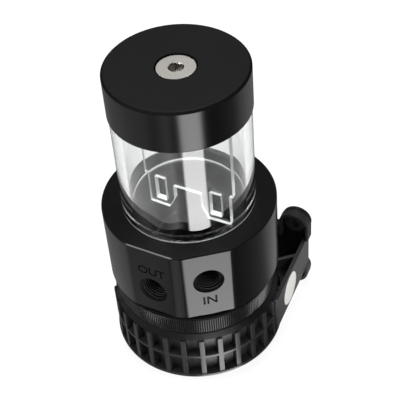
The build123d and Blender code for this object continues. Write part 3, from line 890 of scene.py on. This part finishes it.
class PUMP_OT_baffle_sheet(bpy.types.Operator):
    """Cut the baffle sheet with its windows and its arch"""

    bl_idname = "pump.baffle_sheet"
    bl_label = "Baffle sheet"

    def execute(self, context):
        sizes = context.scene.reservoir_sizes
        half = sizes.baffle_half_width
        step = sizes.baffle_step_height
        foot = half - sizes.baffle_step
        outer = foot - sizes.baffle_rail
        inner = outer - sizes.window_width
        sill = sizes.window_sill
        lintel = sill + sizes.window_height
        height = baffle_high.z - baffle_low.z
        jamb, spring, crown = sizes.arch_half_width, sizes.arch_spring, sizes.arch_height
        flare = jamb + sizes.arch_flare
        right_rim = [
            (jamb, crown), (jamb, spring), (flare, 0), (foot, 0), (foot, step), (half, step), (half, height),
        ]
        left_rim = [(-x, z) for x, z in right_rim[::-1]]
        rim = right_rim + left_rim
        holes = [window(-outer, sill, -inner, lintel), window(inner, sill, outer, lintel)]
        azimuth = azimuth_of("out_port")
        place = facing(azimuth, 0, baffle_low.z)
        mesh = plate("baffle_sheet", [rim, *holes], sizes.baffle_thickness, sizes.baffle_edge, place)
        finishes = [acrylic_finish(), frosted_finish(), frosted_finish("milled_acrylic", 0.8)]
        piece = add_piece(mesh, "reservoir", "baffle_acrylic", finishes, "baffle_plate")
        piece.visible_shadow = False
        outward = Vector((sin(azimuth), -cos(azimuth), 0))
        for face in mesh.polygons:
            if abs(face.normal.dot(outward)) < 0.9:
                face.material_index = 1 if abs(face.normal.z) > 0.4 else 2
        return {"FINISHED"}


def head_outline(sizes, socket):
    """Section of the pump top from its bowl down to its skirt and up to the tube's socket."""
    edge = CUT_EDGE
    chamfer = sizes.head_chamfer
    skirt = 38.3 * MM
    skirt_inner = 36.4 * MM
    seal_face = 38.0 * MM
    volute_radius = 31.0 * MM
    volute_top = 50.0 * MM
    inlet = 10.0 * MM
    bowl = 20.0 * MM
    bowl_floor = 58.0 * MM
    return [
        (bowl, bowl_floor, 4.0 * MM),
        (inlet, bowl_floor, 1.5 * MM),
        (inlet, volute_top, edge),
        (volute_radius, volute_top, edge),
        (volute_radius, seal_face, edge),
        (skirt_inner, seal_face, edge),
        (skirt_inner, head_low.z, edge),
        (skirt, head_low.z, edge),
        (skirt, sizes.head_foot, 0),
        (head_high.x - chamfer, sizes.head_foot, edge),
        (head_high.x, sizes.head_foot + chamfer, edge),
        (head_high.x, head_high.z - chamfer, edge),
        (head_high.x - chamfer, head_high.z, edge),
        (socket, head_high.z, edge),
        (socket, tube_low.z, 0),
        (bowl, tube_low.z, edge),
    ]


def head_radius_at(turn, inset, flat_inset, sizes):
    """Outline of the pump top's head, round with two flats, each drawn in by its inset."""
    radius = head_high.x - inset
    for port in PORT_MARKS:
        away = turn - (azimuth_of(port) - pi / 2)
        toward = cos(away)
        if toward > 0:
            radius = min(radius, (head_high.x - sizes.flat_depth - flat_inset) / toward)
    return radius


def head_angles(sizes):
    """Angles round the head, with the ends of its flats among them."""
    near = 0.004
    flat_half = acos((head_high.x - sizes.flat_depth) / head_high.x)
    ends = [azimuth_of(port) - pi / 2 + side * flat_half for port in PORT_MARKS for side in (1, -1)]
    apart = [
        turn for turn in turns(ROUND_STEPS) if min(abs(sin((turn - end) / 2)) for end in ends) > near
    ]
    return sorted(apart + [end % (2 * pi) for end in ends])


def head_rings(outline, sizes):
    """Rings of points round the pump top, drawn in to its flats on the head."""
    chamfer = sizes.head_chamfer
    angles = head_angles(sizes)
    rings = []
    for radius, height in eased(outline):
        inset = head_high.x - radius
        drop = head_high.z - height
        on_head = height >= sizes.head_foot - CUT_EDGE and inset < 2 * chamfer
        widen = sizes.flat_chamfer / chamfer if drop < 2 * chamfer else 1
        ring = []
        for turn in angles:
            reach, rise = radius, height
            if on_head:
                reach = head_radius_at(turn, inset, inset * widen, sizes)
            if reach < radius:
                rise = head_high.z - drop * widen
            ring.append((reach * cos(turn), reach * sin(turn), rise))
        rings.append(ring)
    return rings


def port_cutter(sizes, place):
    """Cutter for a port's bore with its coned end and its chamfered mouth."""
    cone = 2 * MM
    cone_radius = 5.0 * MM
    proud = 1.0 * MM
    depth = sizes.port_depth
    mouth = sizes.port_mouth
    outline = [
        (0, -depth - cone, 0),
        (cone_radius, -depth, 0),
        (port_radius, -depth, 0),
        (port_radius, port_radius - mouth, 0.1 * MM),
        (mouth, 0, 0),
        (mouth, proud, 0),
        (0, proud, 0),
    ]
    return turned("port_cutter", outline, SMALL_STEPS, place)


def engraving(word, height, depth, place):
    """Solid letters to cut a word that is centred on a place."""
    capital_share = 0.69
    boldness = 0.025
    curve = bpy.data.curves.new(word, "FONT")
    curve.body = word
    curve.size = height / capital_share
    curve.align_x = "CENTER"
    curve.align_y = "CENTER"
    curve.extrude = depth
    curve.offset = height * boldness
    mesh = evaluated(as_object(curve))
    weld(mesh, depth / 1000)
    mesh.transform(place)
    return mesh


def finish_head(block, flat, sizes):
    """Choose the finish of each face of the pump top: its upper face, its flats and what is cut into them."""
    hair = 0.01 * MM
    for face in block.polygons:
        if face.normal.z > 0.9 and face.center.z > head_high.z - CUT_EDGE:
            face.material_index = 2
    for port, (_, tall, across, up) in PORT_MARKS.items():
        away = port_place(port, flat).inverted()
        for face in block.polygons:
            spot = away @ face.center
            in_mark = abs(spot.x - across) < 2 * tall and abs(spot.y - up) < tall
            cut_in = in_mark and -1.5 * sizes.mark_depth < spot.z < -hair
            sunk = -sizes.port_depth - CUT_EDGE < spot.z < -hair
            in_bore = sunk and spot.xy.length < sizes.port_mouth
            if cut_in or in_bore:
                face.material_index = 1
            elif abs(spot.z) < hair:
                face.material_index = 3


def port_thread(port, flat, sizes):
    """Thread ridge in a port, from near its end to near its mouth."""
    start = 0.5 * MM
    spare = 1.4 * MM
    height = sizes.port_depth - spare
    crest = port_radius - sizes.thread_depth
    place = port_place(port, flat - sizes.port_depth + start)
    return helix(f"{port}_thread", port_radius, crest, sizes.thread_pitch, height, place)


class PUMP_OT_pump_top(bpy.types.Operator):
    """Machine the pump top with its flats, ports, marks and bowl"""

    bl_idname = "pump.pump_top"
    bl_label = "Pump top"

    def execute(self, context):
        sizes = context.scene.pump_sizes
        tube = context.scene.reservoir_sizes
        flat = head_high.x - sizes.flat_depth
        socket = tube_high.x - tube.tube_step + 0.1 * MM
        block = skin("pump_block", head_rings(head_outline(sizes, socket), sizes), closed=True)
        cutters = []
        for port, (word, tall, across, up) in PORT_MARKS.items():
            place = port_place(port, flat)
            mark_place = place @ Matrix.Translation((across, up, 0))
            cutters.append(port_cutter(sizes, place))
            cutters.append(engraving(word, tall, sizes.mark_depth, mark_place))
        block = combined(block, cutters, "DIFFERENCE")
        finishes = [acetal_finish(), engraved_and_shade_finish(), faced_and_shade_finish("shaded_acetal", 0.14)]
        finishes.append(acetal_finish("milled_acetal", 0.21))
        add_piece(block, "reservoir", "acetal_black", finishes, "pump_top")
        finish_head(block, flat, sizes)
        for port in PORT_MARKS:
            ridge = port_thread(port, flat, sizes)
            add_piece(ridge, "reservoir", "acetal_black", [thread_glint_finish(), engraved_and_shade_finish()])
            # Crest faces take the lighter painted highlight, the flanks the matt black
            for number, face in enumerate(ridge.polygons):
                face.material_index = 0 if number % 4 == 1 else 1
        return {"FINISHED"}


class PUMP_OT_grip_ring(bpy.types.Operator):
    """Turn the lock ring and roll its grip lines"""

    bl_idname = "pump.grip_ring"
    bl_label = "Grip ring"

    def execute(self, context):
        sizes = context.scene.pump_sizes
        root = ring_high.x - sizes.knurl_depth
        bottom, top = ring_low.z, ring_high.z
        bore = 33.0 * MM
        thread = 38.4 * MM
        lip_top = 33.2 * MM
        edge = CUT_EDGE
        chamfer = 0.8 * MM
        grip_foot = bottom + 0.5 * MM
        grip_top = top - 1.3 * MM
        run_out = 0.35 * MM
        outline = [
            (bore, bottom, edge),
            (root, bottom, edge),
            (root, grip_foot, 0),
            (ring_high.x, grip_foot + run_out, 0),
            (ring_high.x, grip_top - run_out, 0),
            (root, grip_top, 0),
            (root, top - chamfer, edge),
            (root - chamfer, top, edge),
            (thread, top, edge),
            (thread, lip_top, edge),
            (bore, lip_top, edge),
        ]
        teeth = sizes.knurl_count
        # Each point's place along the pitch, and whether it stands on the crest
        points = ((-0.1, True), (0.1, True), (0.34, False), (0.66, False))
        rings = []
        for radius, height in eased(outline):
            ring = []
            for tooth in range(teeth):
                for offset, on_crest in points:
                    turn = 2 * pi * (tooth + offset) / teeth
                    reach = root if radius > root and not on_crest else radius
                    ring.append((reach * cos(turn), reach * sin(turn), height))
            rings.append(ring)
        grip = skin("knurled_ring", rings, closed=True)
        finishes = [anodised_finish(), engraved_and_shade_finish()]
        add_piece(grip, "lock_ring", "ring_anodised", finishes, "lock_ring")
        # Only the raised crests keep the anodised finish; every other face takes the darker matt black,
        # painted shade in the grooves and bands
        for face in grip.polygons:
            raised = face.center.xy.length > root + 0.05 * MM
            face.material_index = 0 if raised and grip_foot < face.center.z < grip_top else 1
        return {"FINISHED"}


class PUMP_OT_basket(bpy.types.Operator):
    """Mould the ribbed basket"""

    bl_idname = "pump.basket"
    bl_label = "Basket"

    def execute(self, context):
        sizes = context.scene.pump_sizes
        edge = sizes.mould_edge
        base = -basket_low.y
        rib = base - 0.4 * MM
        wall = rib - sizes.rib_depth
        rim = wall + 1.7 * MM
        rim_foot = rim + 1.4 * MM
        floor = 2.0 * MM
        top = ring_low.z - 0.2 * MM
        rim_inner = 32.6 * MM
        inner = 36.3 * MM
        fillet = 0.5 * MM
        draft = 0.06 * MM
        rib_end = sizes.rib_top
        rows = [(0, 0, 0), *eased_rows(base, floor, rib, wall, rim_foot, edge, fillet, sizes)]
        rows += [
            (rim, top - 0.55 * MM, 0),
            (rim - 0.1 * MM, top - 0.3 * MM, 0),
            (rim - 0.3 * MM, top - 0.08 * MM, 0),
            (rim - 0.6 * MM, top, 0),
            (rim_inner + edge, top, 0),
            (rim_inner, top - edge, 0),
            (rim_inner, rib_end, 0),
            (inner, rib_end - (inner - rim_inner), 0),
            (inner, floor, 0),
            (0, floor, 0),
        ]
        half = sizes.rib_width / 2
        section = [
            (half - edge, rib), (half - ROUNDING * edge, rib - ROUNDING * edge), (half, rib - edge),
            (half + draft, wall + fillet), (half + draft + ROUNDING * fillet, wall + ROUNDING * fillet),
            (half + draft + fillet, wall),
        ]
        profile = [(-offset, radius) for offset, radius in section[::-1]] + section
        pitch = 2 * pi / sizes.rib_count
        pocket = pitch - 2 * section[-1][0] / rib
        columns = []
        for count in range(sizes.rib_count):
            middle = sizes.rib_start - pi / 2 + count * pitch
            columns += [(middle + offset / rib, (radius - wall) / (rib - wall)) for offset, radius in profile]
            last = middle + section[-1][0] / rib
            columns += [(last + pocket * share, 0) for share in (1 / 3, 2 / 3)]
        rings = []
        for radius, height, rib_radius in rows:
            if radius == 0:
                rings.append([(0, 0, height)])
                continue
            ring = []
            for turn, share in columns:
                reach = radius
                if rib_radius:
                    reach = max(radius, wall + (rib_radius - wall) * share)
                ring.append((reach * cos(turn), reach * sin(turn), height))
            rings.append(ring)
        shell = skin("basket_shell", rings)
        cable_low, cable_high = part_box("cable_grommet")
        cable_radius = cable_high.x + 0.05 * MM
        cable_height = (cable_low.z + cable_high.z) / 2
        drill_place = facing_wall(0, inner - 3 * MM, cable_height)
        drill = cylinder("cable_drill", cable_radius, 0, 12 * MM, 48, drill_place)
        shell = combined(shell, [drill], "DIFFERENCE")
        add_piece(shell, "pump_motor", "moulded_black", [moulded_finish(), faced_and_shade_finish()], "pump_basket")
        # The rim above the ribs takes the darker satin black: painted shade that darkens the rim, which tilts
        # up towards the lamps
        for face in shell.polygons:
            face.material_index = 1 if face.center.z > rib_end + edge / 2 else 0
        return {"FINISHED"}


def both_ends(points, foot, top, rib):
    """Rows up from a foot through points of (radius, rise), then the same points down from a top."""
    rising = [(radius, foot + rise, rib) for radius, rise in points]
    falling = [(radius, top - rise, rib) for radius, rise in points[::-1]]
    return rising + falling


def eased_rows(base, floor, rib, wall, rim_foot, edge, fillet, sizes):
    """Rows of the basket's outside from its foot to its rim, as (round radius, height, rib radius)."""
    lip = 0.04 * MM
    soft_fillet = ROUNDING * fillet
    soft_edge = ROUNDING * edge
    pocket = [(wall + fillet, lip), (wall + soft_fillet, soft_fillet), (wall, fillet)]
    hoop = [(rib - edge, 0), (rib - soft_edge, soft_edge), (rib, edge)]
    hoop_foot, end = sizes.hoop_foot, sizes.rib_top
    hoop_top = hoop_foot + sizes.hoop_height
    return [
        (base - 0.6 * MM, 0, 0),
        (base - 0.4 * MM, 0.06 * MM, 0),
        (base - 0.06 * MM, 0.4 * MM, 0),
        (base, 0.6 * MM, 0),
        (base, floor - 0.25 * MM, 0),
        (base - 0.1 * MM, floor - 0.08 * MM, 0),
        (base - 0.3 * MM, floor, rib),
        *both_ends(pocket, floor, hoop_foot, rib),
        *both_ends(hoop, hoop_foot, hoop_top, rib),
        *both_ends(pocket, hoop_top, end, rib),
        (rim_foot - edge, end - 0.03 * MM, rib - soft_edge),
        (rim_foot - soft_edge, end + 0.02 * MM, rib - edge),
        (rim_foot - soft_edge, end + edge, 0),
    ]


def cup_bore(name, radius, x, z, sizes):
    """Round cutter through a wall cup, from in front of the cup to behind the wall's face."""
    clear = 1 * MM
    reach = 30 * MM
    place = facing_wall(x, wall_face - sizes.cup_depth - clear, z)
    return cylinder(name, radius, 0, reach, place=place)


def wall_cup(x, z, sizes):
    """A round cup that stands against the wall, with the grommet's hole in its back."""
    edge = sizes.mould_edge
    hole_edge = 0.1 * MM
    hollow = sizes.cup_radius - sizes.cup_wall
    outline = [
        (GROMMET_HOLE, 0, hole_edge),
        (sizes.cup_radius, 0, edge),
        (sizes.cup_radius, -sizes.cup_depth, edge),
        (hollow, -sizes.cup_depth, edge),
        (hollow, -sizes.cup_back, edge),
        (GROMMET_HOLE, -sizes.cup_back, hole_edge),
    ]
    return turned("cup", outline, SMALL_STEPS, facing_wall(x, wall_face, z))


def bracket_arm(side, sizes):
    """The arm on the right (1) or left (-1) with its root, its gusset and its lower cup."""
    edge = sizes.mould_edge
    start = 37.2 * MM
    root_length = 6.0 * MM
    reach = 33.4 * MM
    gusset_half = 1.8 * MM / 2
    tall = sizes.arm_height
    middle = arm_face - sizes.arm_thickness / 2
    raised = Matrix.Translation((0, 0, sizes.arm_foot + tall / 2))
    leaning = Matrix.Rotation(atan2(reach, side * middle), 4, "Z") @ raised
    name = "right_arm" if side == 1 else "left_arm"
    face = rectangle(0, sizes.arm_foot, wall_face - edge, sizes.arm_foot + tall)
    arm = plate(name, [face], sizes.arm_thickness, edge, facing_side(side * middle))
    root = rectangle(side * start, 0, side * (arm_face - edge), root_length)[::side]
    gusset = rectangle(start, -gusset_half, hypot(reach, middle), gusset_half)
    parts = [plate("root", [root], tall, edge, raised), plate("gusset", [gusset], tall, edge, leaning)]
    arm = combined(arm, parts, "UNION")
    cups = [(x, z) for x, z in cup_places() if x * side > 0 and z < sizes.arm_foot]
    hollow = sizes.cup_radius - sizes.cup_wall
    arm = combined(arm, [cup_bore("clear", hollow, x, z, sizes) for x, z in cups], "DIFFERENCE")
    arm = combined(arm, [wall_cup(x, z, sizes) for x, z in cups], "UNION")
    if side == 1:
        recess_radius = (badge_high.z - badge_low.z) / 2 + 0.15 * MM
        recess = cylinder("recess", recess_radius, 0, 5 * MM, place=badge_place())
        arm = combined(arm, [recess], "DIFFERENCE")
    return arm


def bracket_plate(sizes):
    """The wall plate between the arms with its bar and the bands round its two upper cups."""
    edge = sizes.mould_edge
    radius = sizes.cup_radius
    hollow = radius - sizes.cup_wall
    half_wall = sizes.cup_wall / 2
    arm_top = sizes.arm_foot + sizes.arm_height
    foot = 1.0 * MM
    bar_low, bar_high = 25.0 * MM, 31.0 * MM
    side_edge = arm_face - edge
    cup_x, cup_z = max(cup_places())
    rim = [
        (-side_edge, foot),
        (side_edge, foot),
        (side_edge, arm_top),
        *arch(cup_x, cup_z, radius, arm_top, bar_high),
        *arch(-cup_x, cup_z, radius, bar_high, arm_top),
        (-side_edge, arm_top),
    ]
    holes = [circle(x, cup_z, GROMMET_HOLE)[::-1] for x in (cup_x, -cup_x)]
    back_place = facing_front(wall_face - sizes.cup_back / 2)
    back = plate("wall_plate", [rim, *holes], sizes.cup_back, edge, back_place)
    inner = cup_x - radius + half_wall
    bar = rectangle(-inner, bar_low, inner, bar_high)
    parts = [plate("bar", [bar], BAR_DEPTH, edge, facing_front(wall_face - BAR_DEPTH / 2))]
    band_place = facing_front(wall_face - sizes.cup_depth / 2)
    for x in (cup_x, -cup_x):
        band = arch(x, cup_z, radius, arm_top, arm_top) + arch(x, cup_z, hollow, arm_top, arm_top)[::-1]
        parts.append(plate("band", [band], sizes.cup_depth, edge, band_place))
    back = combined(back, parts, "UNION")
    lower = [(x, z) for x, z in cup_places() if z < sizes.arm_foot]
    rounds = [cup_bore("round", radius - half_wall, x, z, sizes) for x, z in lower]
    return combined(back, rounds, "DIFFERENCE")


class PUMP_OT_wall_bracket(bpy.types.Operator):
    """Mould the two wall arms with their cups and the wall plate between them"""

    bl_idname = "pump.wall_bracket"
    bl_label = "Wall bracket"

    def execute(self, context):
        sizes = context.scene.pump_sizes
        for side in (1, -1):
            arm = bracket_arm(side, sizes)
            add_piece(arm, "pump_motor", "moulded_black", [smooth_finish()], "pump_basket")
        back = bracket_plate(sizes)
        finishes = [moulded_finish(), engraved_and_shade_finish()]
        add_piece(back, "pump_motor", "moulded_black", finishes, "pump_basket")
        # Front faces of the plate and bar, set back within the bar's depth, take the darker matt black:
        # painted shade
        bar_face = wall_face - BAR_DEPTH - sizes.mould_edge
        for face in back.polygons:
            front_in_shade = face.normal.y < -0.5 and face.center.y > bar_face
            face.material_index = 1 if front_in_shade else 0
        return {"FINISHED"}


class PUMP_OT_badge(bpy.types.Operator):
    """Press the bare badge into the right arm"""

    bl_idname = "pump.badge"
    bl_label = "Badge"

    def execute(self, context):
        radius = (badge_high.z - badge_low.z) / 2
        thickness = badge_high.x - badge_low.x
        edge = 0.35 * MM
        outline = [
            (0, 0, 0), (radius, 0, 0.1 * MM), (radius, thickness - 0.12 * MM, edge),
            (radius * 0.6, thickness - 0.03 * MM, edge), (0, thickness, 0),
        ]
        disc = turned("badge", outline, 128, badge_place())
        add_piece(disc, "pump_motor", "badge_white", [badge_finish()], "badge_disc")
        return {"FINISHED"}


class PUMP_OT_wall_grommets(bpy.types.Operator):
    """Mould the rubber grommets of the wall cups"""

    bl_idname = "pump.wall_grommets"
    bl_label = "Wall grommets"

    def execute(self, context):
        sizes = context.scene.pump_sizes
        pad = pads_high.y - wall_face
        flange_face = pads_low.y - wall_face
        edge = 0.35 * MM
        waist = 3.95 * MM
        flange = 5.4 * MM
        pad_radius = sizes.cup_radius - 0.3 * MM
        outline = [
            (screw_hole_radius, flange_face, 0.5 * MM),
            (flange, flange_face, edge),
            (flange, -sizes.cup_back, edge),
            (waist, -sizes.cup_back, 0.1 * MM),
            (waist, 0, 0.1 * MM),
            (pad_radius, 0, edge),
            (pad_radius, pad, edge),
            (screw_hole_radius, pad, 0.5 * MM),
        ]
        for number, (x, z) in enumerate(cup_places(), 1):
            mesh = turned(f"wall_grommet_{number}", outline, SMALL_STEPS, facing_wall(x, wall_face, z))
            add_piece(mesh, "pump_motor", "rubber", [rubber_finish()], "damper_grommets")
        return {"FINISHED"}


class PUMP_OT_inner_finishes(bpy.types.Operator):
    """Finish the pieces inside, which show the solids themselves"""

    bl_idname = "pump.inner_finishes"
    bl_label = "Inner finishes"

    def execute(self, context):
        tints = colours()
        plastic = {"shift": 0.08, "scale": 1500, "depth": 0.004 * MM}
        motor = grained("motor_plastic", tints.motor, roughness=0.42, **plastic)
        blades = grained("impeller_plastic", tints.impeller, roughness=0.38, **plastic)
        steel = grained(
            "drawn_steel", tints.steel, roughness=0.28, shift=0.08, scale=900, depth=0.002 * MM,
            metallic=1.0, colour_shift=0.08, lines=0.002 * MM,
        )
        sheet = grained(
            "lamination", tints.lamination, roughness=0.45, shift=0.1, scale=1200, depth=0.003 * MM,
            metallic=0.9, colour_shift=0.1, lines=0.02 * MM,
        )
        copper = grained(
            "copper_wire", tints.copper, roughness=0.3, shift=0.08, scale=1800, depth=0.01 * MM,
            metallic=0.9, colour_shift=0.12, lines=0.05 * MM,
        )
        ferrite = grained("ferrite", tints.ferrite, roughness=0.5, shift=0.1, scale=1600, depth=0.006 * MM)
        ceramic = grained(
            "ceramic", tints.ceramic, roughness=0.2, shift=0.04, scale=1200, depth=0.001 * MM,
            colour_shift=0.03,
        )
        board = grained("solder_mask", tints.board, roughness=0.35, shift=0.08, scale=700, depth=0.006 * MM)
        rubber = rubber_finish()
        finishes = {
            "motor_housing": motor,
            "motor_end_cover": motor,
            "circuit_board": board,
            "cable_grommet": rubber,
            "isolation_cup": steel,
            "bearing_pin": ceramic,
            "stator_core": sheet,
            "stator_coils": copper,
            "rotor_magnet": ferrite,
            "bearing_bush": ceramic,
            "impeller": blades,
            "tube_o_ring": rubber,
            "pump_seal_o_ring": rubber,
            "cap_o_ring": rubber,
            "fill_plug_o_ring": rubber,
        }
        for node, material in finishes.items():
            for place in frame["nodes"][node].material_slots:
                place.material = material
        return {"FINISHED"}


def add_lamp(name, place, target, size, power):
    """A large soft lamp that faces a target and isn't seen itself."""
    data = bpy.data.lights.new(name, "AREA")
    data.shape = "DISK"
    data.size = size
    data.energy = power
    lamp = bpy.data.objects.new(name, data)
    lamp.location = place
    lamp.rotation_euler = (Vector(target) - Vector(place)).to_track_quat("-Z", "Y").to_euler()
    lamp.visible_camera = False
    bpy.context.scene.collection.objects.link(lamp)
    return lamp


def seen_rays(tree):
    """Outputs of a light path node, and the mask of rays that the camera sees straight or through acrylic."""
    path = add_node(tree, "LightPath").outputs
    return path, math_node(tree, "MAXIMUM", path["Is Camera Ray"], path["Is Transmission Ray"])


def low_light(tree):
    """Brightness of the low lights round the object by azimuth, as reflections of the floor show them."""
    full = max(radiance for degrees, radiance in LOW_LIGHTS)
    place = object_place(tree)
    front = math_node(tree, "MULTIPLY", place["Y"], -1.0)
    azimuth = math_node(tree, "ARCTAN2", place["X"], front)
    share = math_node(tree, "ADD", math_node(tree, "DIVIDE", azimuth, 2 * pi), 0.5)
    ramp = add_node(tree, "ValToRGB", Fac=share)
    stops = ramp.color_ramp.elements
    stops[0].position = 0
    stops[1].position = 1
    stops[0].color = stops[1].color = (LOW_LIGHTS[0][1] / full,) * 3 + (1,)
    for degrees, radiance in LOW_LIGHTS:
        stop = stops.new((degrees + 180) / 360)
        stop.color = (radiance / full,) * 3 + (1,)
    return math_node(tree, "MULTIPLY", ramp.outputs["Color"], full)


def floor_finish():
    """Pale floor that shows white by itself and takes a shadow, and whose reflection is the low lights."""
    shadow_tint = (0.16, 0.16, 0.16, 1)
    material, tree, shader = new_material("studio_floor")
    tree.nodes.remove(shader)
    path, through = seen_rays(tree)
    mirrored = math_node(tree, "MULTIPLY", path["Is Reflection Ray"], path["Is Glossy Ray"])
    glow = add_node(tree, "Emission", Strength=bpy.context.scene.pump_stage.floor_glow)
    shade = add_node(tree, "BsdfDiffuse", Color=shadow_tint)
    seen = add_node(tree, "AddShader")
    join(tree, glow.outputs[0], seen.inputs[0])
    join(tree, shade.outputs[0], seen.inputs[1])
    lights = add_node(tree, "Emission", Strength=low_light(tree))
    surface = add_node(tree, "BsdfDiffuse", Color=(*colours().floor, 1))
    for factor, choice in ((through, seen), (mirrored, lights)):
        mix = add_node(tree, "MixShader", Fac=factor)
        join(tree, surface.outputs[0], mix.inputs[1])
        join(tree, choice.outputs[0], mix.inputs[2])
        surface = mix
    feed(tree, tree.nodes["Material Output"], Surface=surface.outputs[0])
    return material


class PUMP_OT_stage(bpy.types.Operator):
    """Set the camera, the lamps, the world and the floor"""

    bl_idname = "pump.stage"
    bl_label = "Stage"

    def execute(self, context):
        scene = context.scene
        stage = scene.pump_stage
        scene.view_settings.view_transform = "Standard"

        data = bpy.data.cameras.new("photo_camera")
        data.lens = stage.camera_lens
        data.sensor_width = 36
        camera = bpy.data.objects.new("photo_camera", data)
        aim = Matrix.Rotation(stage.camera_heading, 4, "Z")
        aim = aim @ Matrix.Rotation(stage.camera_tilt, 4, "X") @ Matrix.Rotation(stage.camera_roll, 4, "Z")
        camera.matrix_world = Matrix.Translation(stage.camera_place) @ aim
        scene.collection.objects.link(camera)
        scene.camera = camera

        world = bpy.data.worlds.new("studio")
        world.use_nodes = True
        tree = world.node_tree
        seen = seen_rays(tree)[1]
        rest = math_node(tree, "MULTIPLY", seen, 1 - stage.world_level)
        brightness = math_node(tree, "ADD", rest, stage.world_level)
        feed(tree, tree.nodes["Background"], Color=(1, 1, 1, 1), Strength=brightness)
        scene.world = world

        target = (0, 0, 0.08)
        power = stage.lamp_power
        add_lamp("left_lamp", (-0.55, -0.75, 0.95), target, size=0.6, power=power)
        right_lamp = add_lamp("right_lamp", (0.95, -0.35, 0.85), target, size=0.6, power=power)
        right_lamp.visible_glossy = False
        add_lamp("top_lamp", (0, 0.1, 1.3), target, size=0.5, power=power)

        reach = 1.6
        corners = [(x, y, basket_low.z) for x, y in rectangle(-reach, -reach, reach, reach)]
        floor_mesh = bpy.data.meshes.new("floor")
        floor_mesh.from_pydata(corners, [], [(0, 1, 2, 3)])
        floor_mesh.materials.append(floor_finish())
        as_object(floor_mesh)
        return {"FINISHED"}


class PUMP_PT_pieces(bpy.types.Panel):
    """Lists the pieces in the order in which they are made"""

    bl_label = "Pump reservoir"
    bl_idname = "PUMP_PT_pieces"
    bl_space_type = "VIEW_3D"
    bl_region_type = "UI"
    bl_category = "Pump reservoir"

    def draw(self, context):
        for operator in OPERATORS:
            self.layout.operator(operator.bl_idname)


OPERATORS = (
    PUMP_OT_screw_cap,
    PUMP_OT_fill_plug,
    PUMP_OT_clear_tube,
    PUMP_OT_baffle_sheet,
    PUMP_OT_pump_top,
    PUMP_OT_grip_ring,
    PUMP_OT_basket,
    PUMP_OT_wall_bracket,
    PUMP_OT_badge,
    PUMP_OT_wall_grommets,
    PUMP_OT_inner_finishes,
    PUMP_OT_stage,
)
SETTINGS = {
    "reservoir_sizes": ReservoirSizes,
    "pump_sizes": PumpSizes,
    "pump_colours": FinishColours,
    "pump_stage": StageSettings,
}


def register():
    for group in SETTINGS.values():
        bpy.utils.register_class(group)
    for operator in OPERATORS:
        bpy.utils.register_class(operator)
    bpy.utils.register_class(PUMP_PT_pieces)
    for name, group in SETTINGS.items():
        setattr(bpy.types.Scene, name, PointerProperty(type=group))


def unregister():
    for name in SETTINGS:
        delattr(bpy.types.Scene, name)
    bpy.utils.unregister_class(PUMP_PT_pieces)
    for operator in reversed(OPERATORS):
        bpy.utils.unregister_class(operator)
    for group in reversed(SETTINGS.values()):
        bpy.utils.unregister_class(group)


def main():
    register()
    bpy.ops.pump.screw_cap()
    bpy.ops.pump.fill_plug()
    bpy.ops.pump.clear_tube()
    bpy.ops.pump.baffle_sheet()
    bpy.ops.pump.pump_top()
    bpy.ops.pump.grip_ring()
    bpy.ops.pump.basket()
    bpy.ops.pump.wall_bracket()
    bpy.ops.pump.badge()
    bpy.ops.pump.wall_grommets()
    bpy.ops.pump.inner_finishes()
    bpy.ops.pump.stage()


if __name__ == "__main__":
    main()
